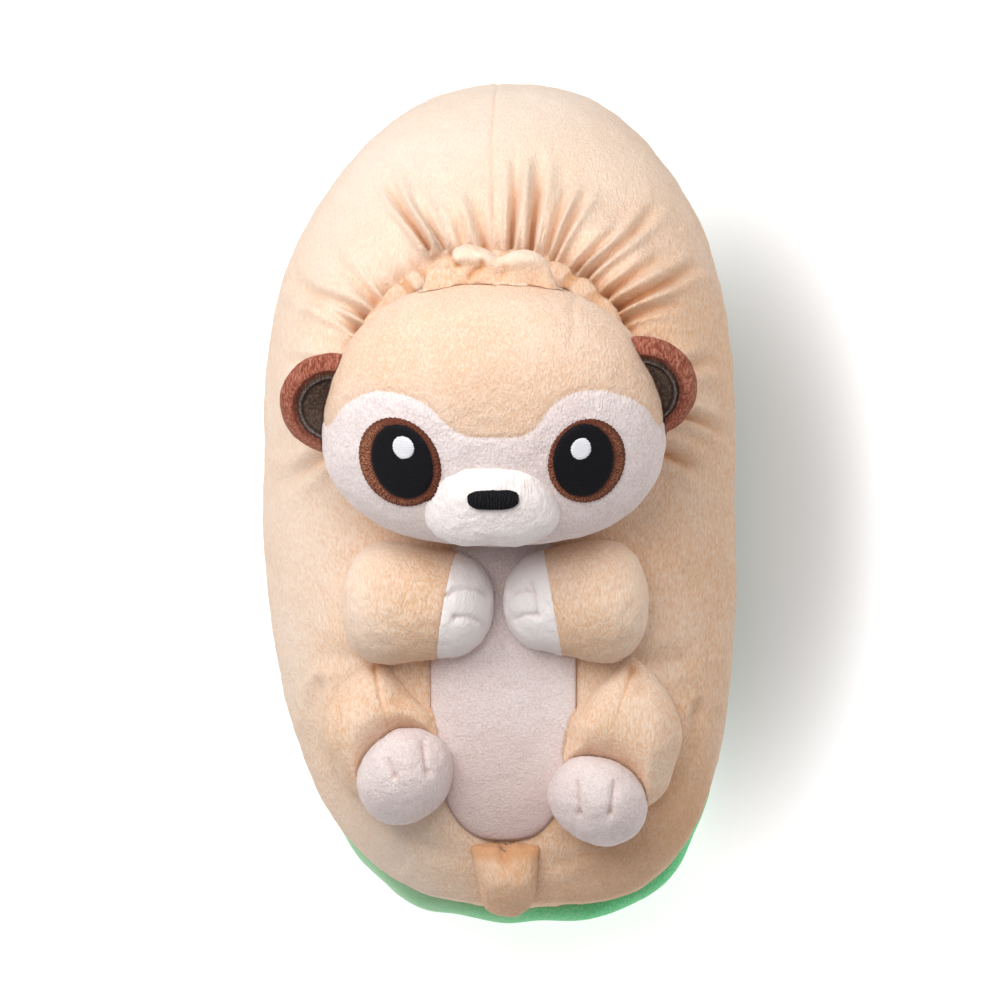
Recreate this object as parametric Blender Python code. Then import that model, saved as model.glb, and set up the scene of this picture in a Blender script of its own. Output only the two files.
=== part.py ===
"""Animal slipper for the right foot: a padded plush upper with a gathered collar on a
cloth-covered foam sole, and a stuffed meerkat that lies on the vamp.

Metres. +Z is up, the toe points along -Y and the wearer's inner side is +X. The origin
is on the floor, under the middle of the room for the foot.
"""

import math

import bmesh
import bpy
from mathutils import Matrix, Vector

# Room for the foot, inside the lining
ROOM_LENGTH = 0.250
ROOM_WIDTH = 0.125
WIDEST_FROM_HEEL = 0.101
HEEL_SQUARE = 2.15
TOE_SQUARE = 3.05
SOLE_TOE_SQUARE = 3.4
HEEL_SWING = 0.0035
TOE_SWING = 0.010

# Padded wall: outer plush, filling and lining together
PAD_SIDE = 0.020
PAD_RIM = 0.007

# Heights of the upper above the sole's top face
WIDEST_RISE = 0.026
THROAT_RISE = 0.068
HEEL_RISE = 0.066
VAMP_ROUND = 1.6
SIDE_ROUND = 1.9
HEEL_ROUND = 2.1

# How far the upper draws in below its widest level
UNDERCUT = 0.010
UNDERCUT_TOE = 0.003
UNDERCUT_LINING = 0.004

# Collar opening, and the elastic casing sewn round it
COLLAR_LENGTH = 0.077
COLLAR_WIDTH = 0.090
COLLAR_FROM_HEEL = 0.072
RIM_SLOPE = 0.0015
CASING_WIDTH = 0.0055
CASING_HEIGHT = 0.0085
CASING_RUFFLES = 18
CASING_RUFFLE_DEPTH = 0.0011

# Sole and insole
SOLE_THICKNESS = 0.016
SOLE_ROUND = 0.005
TOE_SPRING = 0.007
TOE_SPRING_LENGTH = 0.026
SOLE_LIP = 0.002
SOLE_LIP_TOE = 0.006
INSOLE_THICKNESS = 0.006
INSOLE_ROUND = 0.0015

# Head: a flattened ball, leaning back over the collar
HEAD_WIDTH = 0.114
HEAD_TALL = 0.092
HEAD_DEEP = 0.066
HEAD_CHEEKS = 0.11
HEAD_SQUARE = 2.3
HEAD_PITCH = math.radians(55)
HEAD_BEHIND_THROAT = 0.0165
HEAD_SIDE = 0.0023
HEAD_LIFT = 0.003
NECK_WIDTH = 0.046
NECK_LENGTH = 0.032
NECK_HEIGHT = 0.042
NECK_FRONT = 0.009

# Face: places are shares of the head's half width and half height
MUZZLE_WIDTH = 0.044
MUZZLE_TALL = 0.031
MUZZLE_DEEP = 0.030
MUZZLE_DROP = 0.46
NOSE_WIDTH = 0.018
NOSE_TALL = 0.0085
NOSE_DEEP = 0.006
NOSE_LIFT = 0.40
EYE_WIDTH = 0.027
EYE_TALL = 0.031
EYE_SPREAD = 0.544
EYE_DROP = 0.14
EYE_RAISE = 0.0013
EAR_WIDTH = 0.037
EAR_TALL = 0.038
EAR_THICK = 0.011
EARS = {
    "outer": {"spread": -0.94, "lift": 0.05},
    "inner": {"spread": 0.875, "lift": 0.19},
}
EAR_LINING_SHARE = 0.68
EAR_LINING_RAISE = 0.0010
TUFT_WIDTH = 0.041
TUFT_TALL = 0.020
TUFT_THICK = 0.006
TUFT_SINK = 0.006

# Arms: shoulders, cuffs and hands lie in one row across the vamp
ARM_ALONG = 0.324
ARMS = {
    "outer": {"side": -1, "shoulder": -0.362, "hand": -0.144, "cuff": -0.177},
    "inner": {"side": 1, "shoulder": 0.394, "hand": 0.221, "cuff": 0.254},
}
ARM_SHOULDER_RADIUS = 0.0210
ARM_HAND_RADIUS = 0.0147
ARM_STAND = 0.0065
CUFF_SLANT = math.radians(10)

# Legs and feet
HIP_RADIUS = 0.0175
KNEE_RADIUS = 0.0180
ANKLE_RADIUS = 0.0150
LEG_STAND = 0.0020
FOOT_RADIUS = 0.0175
FOOT_DEEP = 0.0145
FOOT_STAND = 0.0095

# Places on the vamp: across is a share of the upper's half width, from the middle
# line, and along a share of the way from the throat to the toe
LEGS = {
    "outer": {"hip": (-0.49, 0.460), "knee": (-0.52, 0.575), "foot": (-0.355, 0.716)},
    "inner": {"hip": (0.58, 0.460), "knee": (0.603, 0.590), "foot": (0.439, 0.773)},
}

# Tail, over the toe
TAIL_START = 0.37
TAIL_END = 0.02
TAIL_ROOT_RADIUS = 0.0115
TAIL_TIP_RADIUS = 0.0042
TAIL_SINK = 0.78

# Belly panel
BELLY_TOP_ALONG = 0.10
BELLY_END_ALONG = 0.860
BELLY_WIDTH = 0.050
BELLY_SQUARE = 2.7
BELLY_THICKNESS = 0.0012

# The animal's middle line, towards the wearer's inner side
ANIMAL_SIDE = 0.0038

GAP = 0.0003
TURNS = 56
CASING_TURNS = 72
MERGE = 1e-7

SEAT = SOLE_THICKNESS + GAP
WIDEST_Y = ROOM_LENGTH / 2 - WIDEST_FROM_HEEL
HEEL_END = ROOM_LENGTH / 2 + PAD_SIDE
COLLAR_Y = HEEL_END - COLLAR_FROM_HEEL - COLLAR_LENGTH / 2
THROAT_Y = COLLAR_Y - COLLAR_LENGTH / 2
TOE_Y = -ROOM_LENGTH / 2 - PAD_SIDE

PLUSH_TAN = (0.86, 0.62, 0.40)
PLUSH_PINK = (0.80, 0.63, 0.57)
PLUSH_BROWN = (0.22, 0.075, 0.045)
PLUSH_DARK = (0.055, 0.032, 0.022)
PLUSH_GREEN = (0.10, 0.52, 0.19)
THREAD_BLACK = (0.012, 0.012, 0.016)
LINING_CREAM = (0.80, 0.66, 0.50)


def clear_scene():
    for obj in list(bpy.data.objects):
        bpy.data.objects.remove(obj)


def collection(name):
    made = bpy.data.collections.new(name)
    bpy.context.scene.collection.children.link(made)
    return made


def plush(name, colour, roughness=0.95):
    material = bpy.data.materials.new(name)
    material.use_nodes = True
    shader = material.node_tree.nodes["Principled BSDF"]
    shader.inputs["Base Color"].default_value = (*colour, 1)
    shader.inputs["Roughness"].default_value = roughness
    shader.inputs["Metallic"].default_value = 0
    return material


def power(value, exponent):
    return math.copysign(abs(value) ** exponent, value)


def blend(start, end, share):
    return start + (end - start) * share


class Skin:
    """One surface of the upper, from the sole over its widest level to the collar."""

    def __init__(
        self, out=0.0, up=0.0, undercut=UNDERCUT, rim=0.0, toe_square=TOE_SQUARE
    ):
        self.half_width = ROOM_WIDTH / 2 + PAD_SIDE + out
        self.heel_reach = WIDEST_FROM_HEEL + PAD_SIDE + out
        self.toe_reach = ROOM_LENGTH - WIDEST_FROM_HEEL + PAD_SIDE + out
        self.up = up
        self.undercut = undercut
        self.rim = rim
        self.toe_square = toe_square

    def outline(self, turn, inset=0.0):
        """A point of the plan at this level; turn is 0 at +X and a quarter at the heel."""
        across, along = math.cos(turn), math.sin(turn)
        square = HEEL_SQUARE if along > 0 else self.toe_square
        reach = (self.heel_reach if along > 0 else self.toe_reach) - inset
        size = (abs(across) ** square + abs(along) ** square) ** (-1 / square)
        swing = HEEL_SWING if along > 0 else TOE_SWING
        x = (self.half_width - inset) * across * size + swing * (along * size) ** 2
        return Vector((x, WIDEST_Y + reach * along * size, 0))

    def base_inset(self, turn):
        toe = max(0, -math.sin(turn)) ** 2
        return self.undercut * blend(1, UNDERCUT_TOE / UNDERCUT, toe)

    def collar(self, turn):
        along = math.sin(turn)
        height = blend(THROAT_RISE, HEEL_RISE, (1 + along) / 2)
        return Vector((
            (COLLAR_WIDTH / 2 - self.rim) * math.cos(turn),
            COLLAR_Y + (COLLAR_LENGTH / 2 - self.rim) * along,
            SEAT + height + self.up,
        ))

    def point(self, turn, rise):
        """rise is -1 at the sole, 0 at the widest level and 1 at the collar's edge."""
        slope = rise * math.pi / 2
        if rise <= 0:
            inset = self.base_inset(turn) * (1 - math.cos(slope))
            place = self.outline(turn, inset)
            place.z = SEAT + WIDEST_RISE * (1 + math.sin(slope))
            return place
        along = math.sin(turn)
        bend = blend(SIDE_ROUND, HEEL_ROUND if along > 0 else VAMP_ROUND, abs(along))
        level, edge = self.outline(turn), self.collar(turn)
        inward = 1 - math.cos(slope)
        climb = (1 - math.cos(slope) ** bend) ** (1 / bend)
        place = level.lerp(edge, inward)
        place.z = blend(SEAT + WIDEST_RISE, edge.z, climb)
        return place


def vamp_point(along, across, out=0.0):
    """The point of the outer skin over a place on the vamp, found along its meridians."""
    skin = Skin(out, out)
    x = across * skin.half_width
    y = blend(THROAT_Y, TOE_Y, along)
    low, high = -math.pi / 2, (math.pi / 2 if x > 0 else -math.pi * 3 / 2)
    for _ in range(40):
        turn = (low + high) / 2
        level, edge = skin.outline(turn), skin.collar(turn)
        inward = min(1, max(0, (y - level.y) / (edge.y - level.y)))
        beyond = abs(level.lerp(edge, inward).x) > abs(x) or level.y > y
        low, high = (low, turn) if beyond else (turn, high)
    rise = math.acos(1 - inward) / (math.pi / 2)
    return skin.point(turn, rise)


def new_object(name, bm, group, material=None):
    bm.normal_update()
    bmesh.ops.recalc_face_normals(bm, faces=bm.faces)
    mesh = bpy.data.meshes.new(name)
    bm.to_mesh(mesh)
    bm.free()
    mesh.shade_smooth()
    mesh.set_sharp_from_angle(angle=math.radians(40))
    obj = bpy.data.objects.new(name, mesh)
    group.objects.link(obj)
    if material:
        mesh.materials.append(material)
    else:
        obj.hide_render = True
        obj.display_type = "WIRE"
    return obj


def sheet(turns, levels, place):
    """A grid whose vertices are placed by two shares, welded where its edges meet."""
    bm = bmesh.new()
    bmesh.ops.create_grid(bm, x_segments=turns, y_segments=levels, size=0.5)
    for vertex in bm.verts:
        vertex.co = place(vertex.co.x + 0.5, vertex.co.y + 0.5)
    bmesh.ops.remove_doubles(bm, verts=bm.verts, dist=MERGE)
    return bm


def close_ends(bm):
    rims = [edge for edge in bm.edges if edge.is_boundary]
    bmesh.ops.holes_fill(bm, edges=rims, sides=0)
    return bm


def ball(turns, rings, place):
    """A sphere whose vertices, on a unit sphere, are placed by a function."""
    bm = bmesh.new()
    bmesh.ops.create_uvsphere(bm, u_segments=turns, v_segments=rings, radius=1)
    for vertex in bm.verts:
        vertex.co = place(vertex.co.normalized())
    return bm


def sausage(turns, steps, path, radius, across=(0, 0, 1)):
    """A closed tube round a path; across is a direction that the path never takes."""
    reach = 0.02

    def place(around, along):
        start, end = max(0, along - reach), min(1, along + reach)
        axis = (path(end) - path(start)).normalized()
        side = axis.cross(Vector(across)).normalized()
        angle = around * math.tau
        offset = side * math.cos(angle) + axis.cross(side) * math.sin(angle)
        return path(along) + offset * radius(along)

    return sheet(turns, steps, place)


def round_steps(share):
    """Spreads even shares so that they gather at both ends, where a form is round."""
    return (1 - math.cos(share * math.pi)) / 2


def rounded(share, start_radius, end_radius, length):
    """Half width of a tapered sausage of this length whose two ends are round."""
    size = blend(start_radius, end_radius, share)
    near, far = share * length / start_radius, (1 - share) * length / end_radius
    end = min(1, near, far)
    return size * math.sqrt(max(0.0, 1 - (1 - end) ** 2))


def boolean(obj, other, operation):
    modifier = obj.modifiers.new(operation.title() + "_" + other.name, "BOOLEAN")
    modifier.operation = operation
    modifier.object = other
    modifier.solver = "EXACT"


def envelope(name, group, out):
    """The upper's outer form, filled and grown by out, to seat pieces on it."""
    skin = Skin(out, out)
    levels = 22

    def place(around, up):
        return skin.point(around * math.tau, blend(-1, 1, up))

    return new_object(name, close_ends(sheet(TURNS, levels, place)), group)


def make_sole(group, material):
    """Cloth-covered foam: flat below, with a soft edge that lifts under the toe."""
    skin = Skin(toe_square=SOLE_TOE_SQUARE)
    steps = 3

    def place(around, up):
        turn = around * math.tau
        toe = max(0, -math.sin(turn)) ** 2
        step = round(up * (2 * steps + 1))
        below = step <= steps
        share = (step if below else step - steps - 1) / steps * math.pi / 2
        deep = blend(SOLE_ROUND, TOE_SPRING, toe) if below else SOLE_ROUND
        wide = blend(SOLE_ROUND, TOE_SPRING_LENGTH, toe) if below else SOLE_ROUND
        if below:
            inset, height = wide * (1 - math.sin(share)), deep * (1 - math.cos(share))
        else:
            inset = wide * (1 - math.cos(share))
            height = SOLE_THICKNESS - deep * (1 - math.sin(share))
        lip = blend(SOLE_LIP, SOLE_LIP_TOE, toe)
        point = skin.outline(turn, skin.base_inset(turn) - lip + inset)
        point.z = height
        return point

    bm = close_ends(sheet(TURNS, 2 * steps + 1, place))
    return new_object("sole", bm, group, material)


def lining_skin():
    return Skin(-PAD_SIDE, -PAD_RIM, UNDERCUT_LINING, RIM_SLOPE)


def make_insole(group, material):
    skin = lining_skin()
    bottom = SEAT
    profile = (
        (0, bottom),
        (0, bottom + INSOLE_THICKNESS - INSOLE_ROUND),
        (INSOLE_ROUND, bottom + INSOLE_THICKNESS),
    )

    def place(around, up):
        turn = around * math.tau
        inset, height = profile[round(up * (len(profile) - 1))]
        point = skin.outline(turn, skin.base_inset(turn) + GAP + inset)
        point.z = height
        return point

    bm = close_ends(sheet(TURNS, len(profile) - 1, place))
    return new_object("insole", bm, group, material)


def make_upper(group, material):
    """One closed wall: up the outer skin, over the rim and down the lining."""
    outer, lining = Skin(), lining_skin()
    under, over = 4, 8
    rises = [step / under - 1 for step in range(under)]
    rises += [step / over for step in range(over + 1)]
    stations = [(outer, rise) for rise in rises]
    stations += [(lining, rise) for rise in reversed(rises)]
    stations.append(stations[0])

    def place(around, up):
        skin, rise = stations[round(up * (len(stations) - 1))]
        return skin.point(around * math.tau, rise)

    return new_object("upper", sheet(TURNS, len(stations) - 1, place), group, material)


def make_casing(group, material, grow=0.0, name="collar_casing"):
    """The ruffled elastic casing that stands on the rim of the collar."""
    skin = Skin()
    section = 6

    def place(around, up):
        turn = around * math.tau
        angle = up * math.tau
        ruffle = CASING_RUFFLE_DEPTH * math.sin(CASING_RUFFLES * turn)
        edge = skin.collar(turn)
        outward = Vector((math.cos(turn), math.sin(turn), 0))
        side = (CASING_WIDTH / 2 + grow) * power(math.cos(angle), 0.8)
        height = (CASING_HEIGHT / 2 + grow) * power(math.sin(angle), 0.8)
        lift = GAP + CASING_HEIGHT / 2 + height
        return edge + outward * (side + ruffle) + Vector((0, 0, lift))

    bm = sheet(CASING_TURNS, section, place)
    return new_object(name, bm, group, material)


def head_frame():
    """The head's own axes: X to the side, Y to the crown and Z out of the face."""
    half_tall, half_deep = HEAD_TALL / 2, HEAD_DEEP / 2
    drop = math.hypot(half_tall * math.cos(HEAD_PITCH), half_deep * math.sin(HEAD_PITCH))
    centre = Vector((
        HEAD_SIDE,
        THROAT_Y + HEAD_BEHIND_THROAT,
        SEAT + THROAT_RISE + drop + HEAD_LIFT,
    ))
    return Matrix.Translation(centre) @ Matrix.Rotation(math.pi / 2 - HEAD_PITCH, 4, "X")


def head_local(unit, grow=0.0):
    """A point of the head's form in its own axes, for a unit direction."""
    size = sum(abs(value) ** HEAD_SQUARE for value in unit) ** (-1 / HEAD_SQUARE)
    cheeks = 1 - HEAD_CHEEKS * unit.y
    return Vector((
        (HEAD_WIDTH / 2 + grow) * unit.x * size * cheeks,
        (HEAD_TALL / 2 + grow) * unit.y * size,
        (HEAD_DEEP / 2 + grow) * unit.z * size,
    ))


def head_form(name, group, grow=0.0, material=None, turns=26, rings=16):
    frame = head_frame()
    bm = ball(turns, rings, lambda unit: frame @ head_local(unit, grow))
    return new_object(name, bm, group, material)


def face_place(across, up):
    """The point on the face, in the head's axes, at these shares of its half sizes."""
    out = math.sqrt(max(0.0, 1 - across**2 - up**2))
    return Vector((across * HEAD_WIDTH / 2, up * HEAD_TALL / 2, out * HEAD_DEEP / 2))


def ellipsoid(name, group, frame, centre, half, material=None, turns=18, rings=12):
    def place(unit):
        sizes = Vector((unit.x * half[0], unit.y * half[1], unit.z * half[2]))
        return frame @ (centre + sizes)

    return new_object(name, ball(turns, rings, place), group, material)


def oval_prism(name, group, frame, centre, half, depth, square=2.0, material=None):
    """An upright oval block in the given frame, from its centre along local Z."""
    bm = bmesh.new()
    bmesh.ops.create_cone(
        bm, cap_ends=True, segments=32, radius1=1, radius2=1, depth=1
    )
    for vertex in bm.verts:
        across, along = vertex.co.x, vertex.co.y
        size = (abs(across) ** square + abs(along) ** square) ** (-1 / square)
        place = Vector((across * size * half[0], along * size * half[1], 0))
        place.z = depth if vertex.co.z > 0 else 0
        vertex.co = frame @ (centre + place)
    return new_object(name, bm, group, material)


def neck_form(name, group, grow=0.0):
    centre = Vector((
        HEAD_SIDE, THROAT_Y - NECK_FRONT, SEAT + THROAT_RISE + NECK_HEIGHT / 4
    ))
    half = [size / 2 + grow for size in (NECK_WIDTH, NECK_LENGTH, NECK_HEIGHT)]
    return ellipsoid(name, group, Matrix.Identity(4), centre, half)


def make_head(group, cutters, material, seat_cutter, casing_cutter):
    """The head with its short neck, seated on the vamp and on the collar's casing."""
    head = head_form("head", group, material=material)
    boolean(head, neck_form("neck_form", cutters), "UNION")
    boolean(head, seat_cutter, "DIFFERENCE")
    boolean(head, casing_cutter, "DIFFERENCE")
    return head


def muzzle_centre():
    return face_place(0, -MUZZLE_DROP) - Vector((0, 0, MUZZLE_DEEP * 0.1))


def make_muzzle(group, cutters, material, head_cutter, seat_cutter):
    half = (MUZZLE_WIDTH / 2, MUZZLE_TALL / 2, MUZZLE_DEEP / 2)
    muzzle = ellipsoid(
        "muzzle", group, head_frame(), muzzle_centre(), half, material, 20, 12
    )
    boolean(muzzle, head_cutter, "DIFFERENCE")
    boolean(muzzle, seat_cutter, "DIFFERENCE")
    return muzzle


def make_nose(group, cutters, material):
    half = Vector((MUZZLE_WIDTH / 2, MUZZLE_TALL / 2, MUZZLE_DEEP / 2))
    seat = ellipsoid(
        "muzzle_grown", cutters, head_frame(), muzzle_centre(),
        half + Vector((GAP, GAP, GAP)), turns=20, rings=12,
    )
    out = half.z * math.sqrt(1 - NOSE_LIFT**2)
    centre = muzzle_centre() + Vector((0, NOSE_LIFT * half.y, out - NOSE_DEEP / 4))
    nose = ellipsoid(
        "nose", group, head_frame(), centre,
        (NOSE_WIDTH / 2, NOSE_TALL / 2, NOSE_DEEP / 2), material, 14, 8,
    )
    boolean(nose, seat, "DIFFERENCE")
    return nose


def make_eyes(group, cutters, material, head_cutter, muzzle_cutter):
    raised = head_form("head_raised", cutters, GAP + EYE_RAISE)
    for side, label in ((-1, "outer"), (1, "inner")):
        centre = face_place(side * EYE_SPREAD, -EYE_DROP)
        centre.z = 0
        eye = oval_prism(
            "eye_" + label, group, head_frame(), centre,
            (EYE_WIDTH / 2, EYE_TALL / 2), HEAD_DEEP, material=material,
        )
        boolean(eye, raised, "INTERSECT")
        boolean(eye, head_cutter, "DIFFERENCE")
        boolean(eye, muzzle_cutter, "DIFFERENCE")


def make_ears(group, cutters, ear_material, lining_material, head_cutter):
    half = (EAR_WIDTH / 2, EAR_TALL / 2, EAR_THICK / 2)
    frame = head_frame()
    for label, ear in EARS.items():
        centre = Vector((ear["spread"] * HEAD_WIDTH / 2, ear["lift"] * HEAD_TALL / 2, 0))
        body = ellipsoid("ear_" + label, group, frame, centre, half, ear_material, 18, 10)
        boolean(body, head_cutter, "DIFFERENCE")
        grown = [
            ellipsoid(
                f"ear_{label}_{name}", cutters, frame, centre,
                tuple(value + grow for value in half), turns=18, rings=10,
            )
            for name, grow in (("seat", GAP), ("raised", GAP + EAR_LINING_RAISE))
        ]
        lining = oval_prism(
            "ear_lining_" + label, group, frame, centre,
            (half[0] * EAR_LINING_SHARE, half[1] * EAR_LINING_SHARE),
            EAR_THICK, material=lining_material,
        )
        boolean(lining, grown[1], "INTERSECT")
        boolean(lining, grown[0], "DIFFERENCE")
        boolean(lining, head_cutter, "DIFFERENCE")


def make_tuft(group, material, head_cutter):
    """A flat tuft of three locks that lean to one side, sewn to the crown."""
    locks = ((-0.38, 0.35, 0.12), (-0.14, 1.0, 0.13), (0.22, 0.92, 0.24))
    frame = head_frame()
    base = Vector((0, HEAD_TALL / 2 - TUFT_SINK, 0))
    columns = 22

    def place(across, up):
        x = blend(-0.5, 0.5, across)
        tops = [
            height * math.exp(-(((x - middle) / width) ** 2))
            for middle, height, width in locks
        ]
        tall = TUFT_TALL * blend(0.35, 1, max(tops))
        angle = up * math.tau
        lean = 0.10 * TUFT_WIDTH * max(0, math.sin(angle))
        thick = TUFT_THICK / 2 * power(math.cos(angle), 0.7)
        thick *= math.sqrt(max(0.0, 1 - (2 * x) ** 6))
        rise = tall * (1 + power(math.sin(angle), 0.8)) / 2
        return frame @ (base + Vector((x * TUFT_WIDTH - lean, rise, thick)))

    bm = close_ends(sheet(columns, 8, place))
    tuft = new_object("hair_tuft", bm, group, material)
    boolean(tuft, head_cutter, "DIFFERENCE")
    return tuft


def half_space(name, group, point, direction):
    """A large block on the far side of a plane, used to part two pieces at a seam."""
    bm = bmesh.new()
    bmesh.ops.create_cube(bm, size=1)
    frame = direction.to_track_quat("Z", "Y").to_matrix().to_4x4()
    size = ROOM_LENGTH / 2
    for vertex in bm.verts:
        place = (vertex.co + Vector((0, 0, 0.5))) * size
        vertex.co = Matrix.Translation(point) @ frame @ place
    return new_object(name, bm, group)


def above_vamp(across, along, rise):
    place = vamp_point(along, across)
    place.z += rise
    return place


def cut_all(obj, cutters):
    for cutter in cutters:
        boolean(obj, cutter, "DIFFERENCE")
    return obj


def arm_form(name, group, arm, grow=0.0, material=None):
    shoulder = above_vamp(arm["shoulder"], ARM_ALONG, ARM_STAND)
    hand = above_vamp(arm["hand"], ARM_ALONG, ARM_STAND)
    towards = (hand - shoulder).normalized()
    start = shoulder - towards * (ARM_SHOULDER_RADIUS + grow)
    end = hand + towards * (ARM_HAND_RADIUS + grow)
    length = (end - start).length

    def radius(share):
        return rounded(
            round_steps(share), ARM_SHOULDER_RADIUS + grow, ARM_HAND_RADIUS + grow, length
        )

    bm = sausage(18, 12, lambda share: start.lerp(end, round_steps(share)), radius)
    return new_object(name, bm, group, material)


def make_arms(group, cutters, tan, pink, seats):
    """Two stuffed arms whose hands meet over the belly, parted at the cuffs."""
    grown = []
    for label, arm in ARMS.items():
        cuff = above_vamp(arm["cuff"], ARM_ALONG, ARM_STAND)
        towards = Vector((-arm["side"] * math.cos(CUFF_SLANT), -math.sin(CUFF_SLANT), 0))
        beyond_cuff = half_space(
            "hand_side_" + label, cutters, cuff - towards * GAP / 2, towards
        )
        before_cuff = half_space(
            "arm_side_" + label, cutters, cuff + towards * GAP / 2, -towards
        )
        made = arm_form("arm_" + label, group, arm, material=tan)
        cut_all(made, [beyond_cuff, *seats])
        made = arm_form("paw_" + label, group, arm, material=pink)
        cut_all(made, [before_cuff, *seats])
        grown.append(arm_form(f"arm_{label}_grown", cutters, arm, GAP))
    return grown


def make_legs(group, cutters, tan, pink, seats):
    """Two bent legs with round feet; each leg is cut to the foot that closes it."""
    for label, leg in LEGS.items():
        hip = above_vamp(*leg["hip"], LEG_STAND)
        knee = above_vamp(*leg["knee"], LEG_STAND)
        foot_centre = above_vamp(*leg["foot"], FOOT_STAND)
        towards = (foot_centre - knee).normalized()
        turn = towards.to_track_quat("Z", "Y").to_matrix().to_4x4()
        frame = Matrix.Translation(foot_centre) @ turn

        def foot_form(name, where, grow=0.0, material=None):
            wide = FOOT_RADIUS + grow
            half = (wide, wide, FOOT_DEEP + grow)
            return ellipsoid(name, where, frame, Vector(), half, material, 18, 12)

        def path(share):
            share = round_steps(share)
            bent = hip.lerp(knee, share), knee.lerp(foot_centre, share)
            return bent[0].lerp(bent[1], share)

        def radius(share):
            share = round_steps(share)
            size = blend(HIP_RADIUS, KNEE_RADIUS, min(1, 2 * share))
            size = blend(size, ANKLE_RADIUS, max(0, 2 * share - 1))
            start = math.sqrt(max(0.0, 1 - max(0, 1 - share / 0.45) ** 2))
            end = math.sqrt(max(0.0, 1 - max(0, 1 - (1 - share) / 0.25) ** 2))
            return size * start * end

        foot = foot_form("foot_" + label, group, material=pink)
        cut_all(foot, seats)
        grown = foot_form(f"foot_{label}_grown", cutters, GAP)
        made = new_object("leg_" + label, sausage(18, 14, path, radius), group, tan)
        cut_all(made, [grown, *seats])


def make_tail(group, material, seats):
    """A short stuffed cone that follows the bulge of the toe."""

    def size(share):
        return blend(TAIL_ROOT_RADIUS, TAIL_TIP_RADIUS, share)

    def path(share):
        out = size(share) * (1 - TAIL_SINK)
        rise = blend(TAIL_START, TAIL_END, share)
        place = Skin(out, out).point(-math.pi / 2, rise)
        place.x = ANIMAL_SIDE
        return place

    def radius(share):
        share = round_steps(share)
        return rounded(share, TAIL_ROOT_RADIUS, TAIL_TIP_RADIUS, 4 * TAIL_ROOT_RADIUS)

    bm = sausage(14, 14, lambda share: path(round_steps(share)), radius, (1, 0, 0))
    return cut_all(new_object("tail", bm, group, material), seats)


def make_belly(group, cutters, material):
    """A pale panel on the vamp, cut between two forms grown from the upper's own."""
    top = blend(THROAT_Y, TOE_Y, BELLY_TOP_ALONG)
    end = blend(THROAT_Y, TOE_Y, BELLY_END_ALONG)
    belly = oval_prism(
        "belly_panel", group, Matrix.Identity(4),
        Vector((ANIMAL_SIDE, (top + end) / 2, SEAT + WIDEST_RISE)),
        (BELLY_WIDTH / 2, (top - end) / 2), THROAT_RISE, BELLY_SQUARE, material,
    )
    boolean(belly, envelope("upper_raised", cutters, GAP + BELLY_THICKNESS), "INTERSECT")
    boolean(belly, envelope("upper_seat", cutters, GAP), "DIFFERENCE")
    return belly


def main():
    clear_scene()
    group = collection("animal_slipper")
    cutters = collection("cutters")
    tan = plush("plush_tan", PLUSH_TAN)
    pink = plush("plush_pink", PLUSH_PINK)
    brown = plush("plush_brown", PLUSH_BROWN)
    dark = plush("plush_dark_brown", PLUSH_DARK)
    green = plush("plush_green", PLUSH_GREEN)
    black = plush("thread_black", THREAD_BLACK, 0.55)
    lining = plush("lining_cream", LINING_CREAM)
    make_sole(group, green)
    make_insole(group, lining)
    make_upper(group, tan)
    make_casing(group, tan)
    make_belly(group, cutters, pink)
    over_belly = envelope("limb_seat", cutters, 2 * GAP + BELLY_THICKNESS)
    casing_cutter = make_casing(cutters, None, GAP, "casing_grown")
    make_head(group, cutters, tan, over_belly, casing_cutter)
    head_cutter = head_form("head_grown", cutters, GAP)
    muzzle_cutter = ellipsoid(
        "muzzle_seat", cutters, head_frame(), muzzle_centre(),
        (MUZZLE_WIDTH / 2 + GAP, MUZZLE_TALL / 2 + GAP, MUZZLE_DEEP / 2 + GAP),
        turns=20, rings=12,
    )
    make_muzzle(group, cutters, pink, head_cutter, over_belly)
    make_nose(group, cutters, black)
    make_eyes(group, cutters, black, head_cutter, muzzle_cutter)
    make_ears(group, cutters, brown, dark, head_cutter)
    make_tuft(group, tan, head_cutter)
    neck_cutter = neck_form("neck_grown", cutters, GAP)
    seats = [over_belly, head_cutter, neck_cutter, muzzle_cutter]
    arm_cutters = make_arms(group, cutters, tan, pink, seats)
    make_legs(group, cutters, tan, pink, [over_belly, *arm_cutters])
    make_tail(group, tan, [over_belly])


main()
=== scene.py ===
"""A plush animal slipper for the right foot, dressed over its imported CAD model.

Metres. +Z is up, the toe points along -Y and the wearer's inner side is +X. Each section
is one piece, or a group of like pieces, in the order in which the slipper is sewn.
"""

import math

import bmesh
import bpy
import numpy as np
from mathutils import Matrix, Vector, noise
from mathutils.bvhtree import BVHTree


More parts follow.
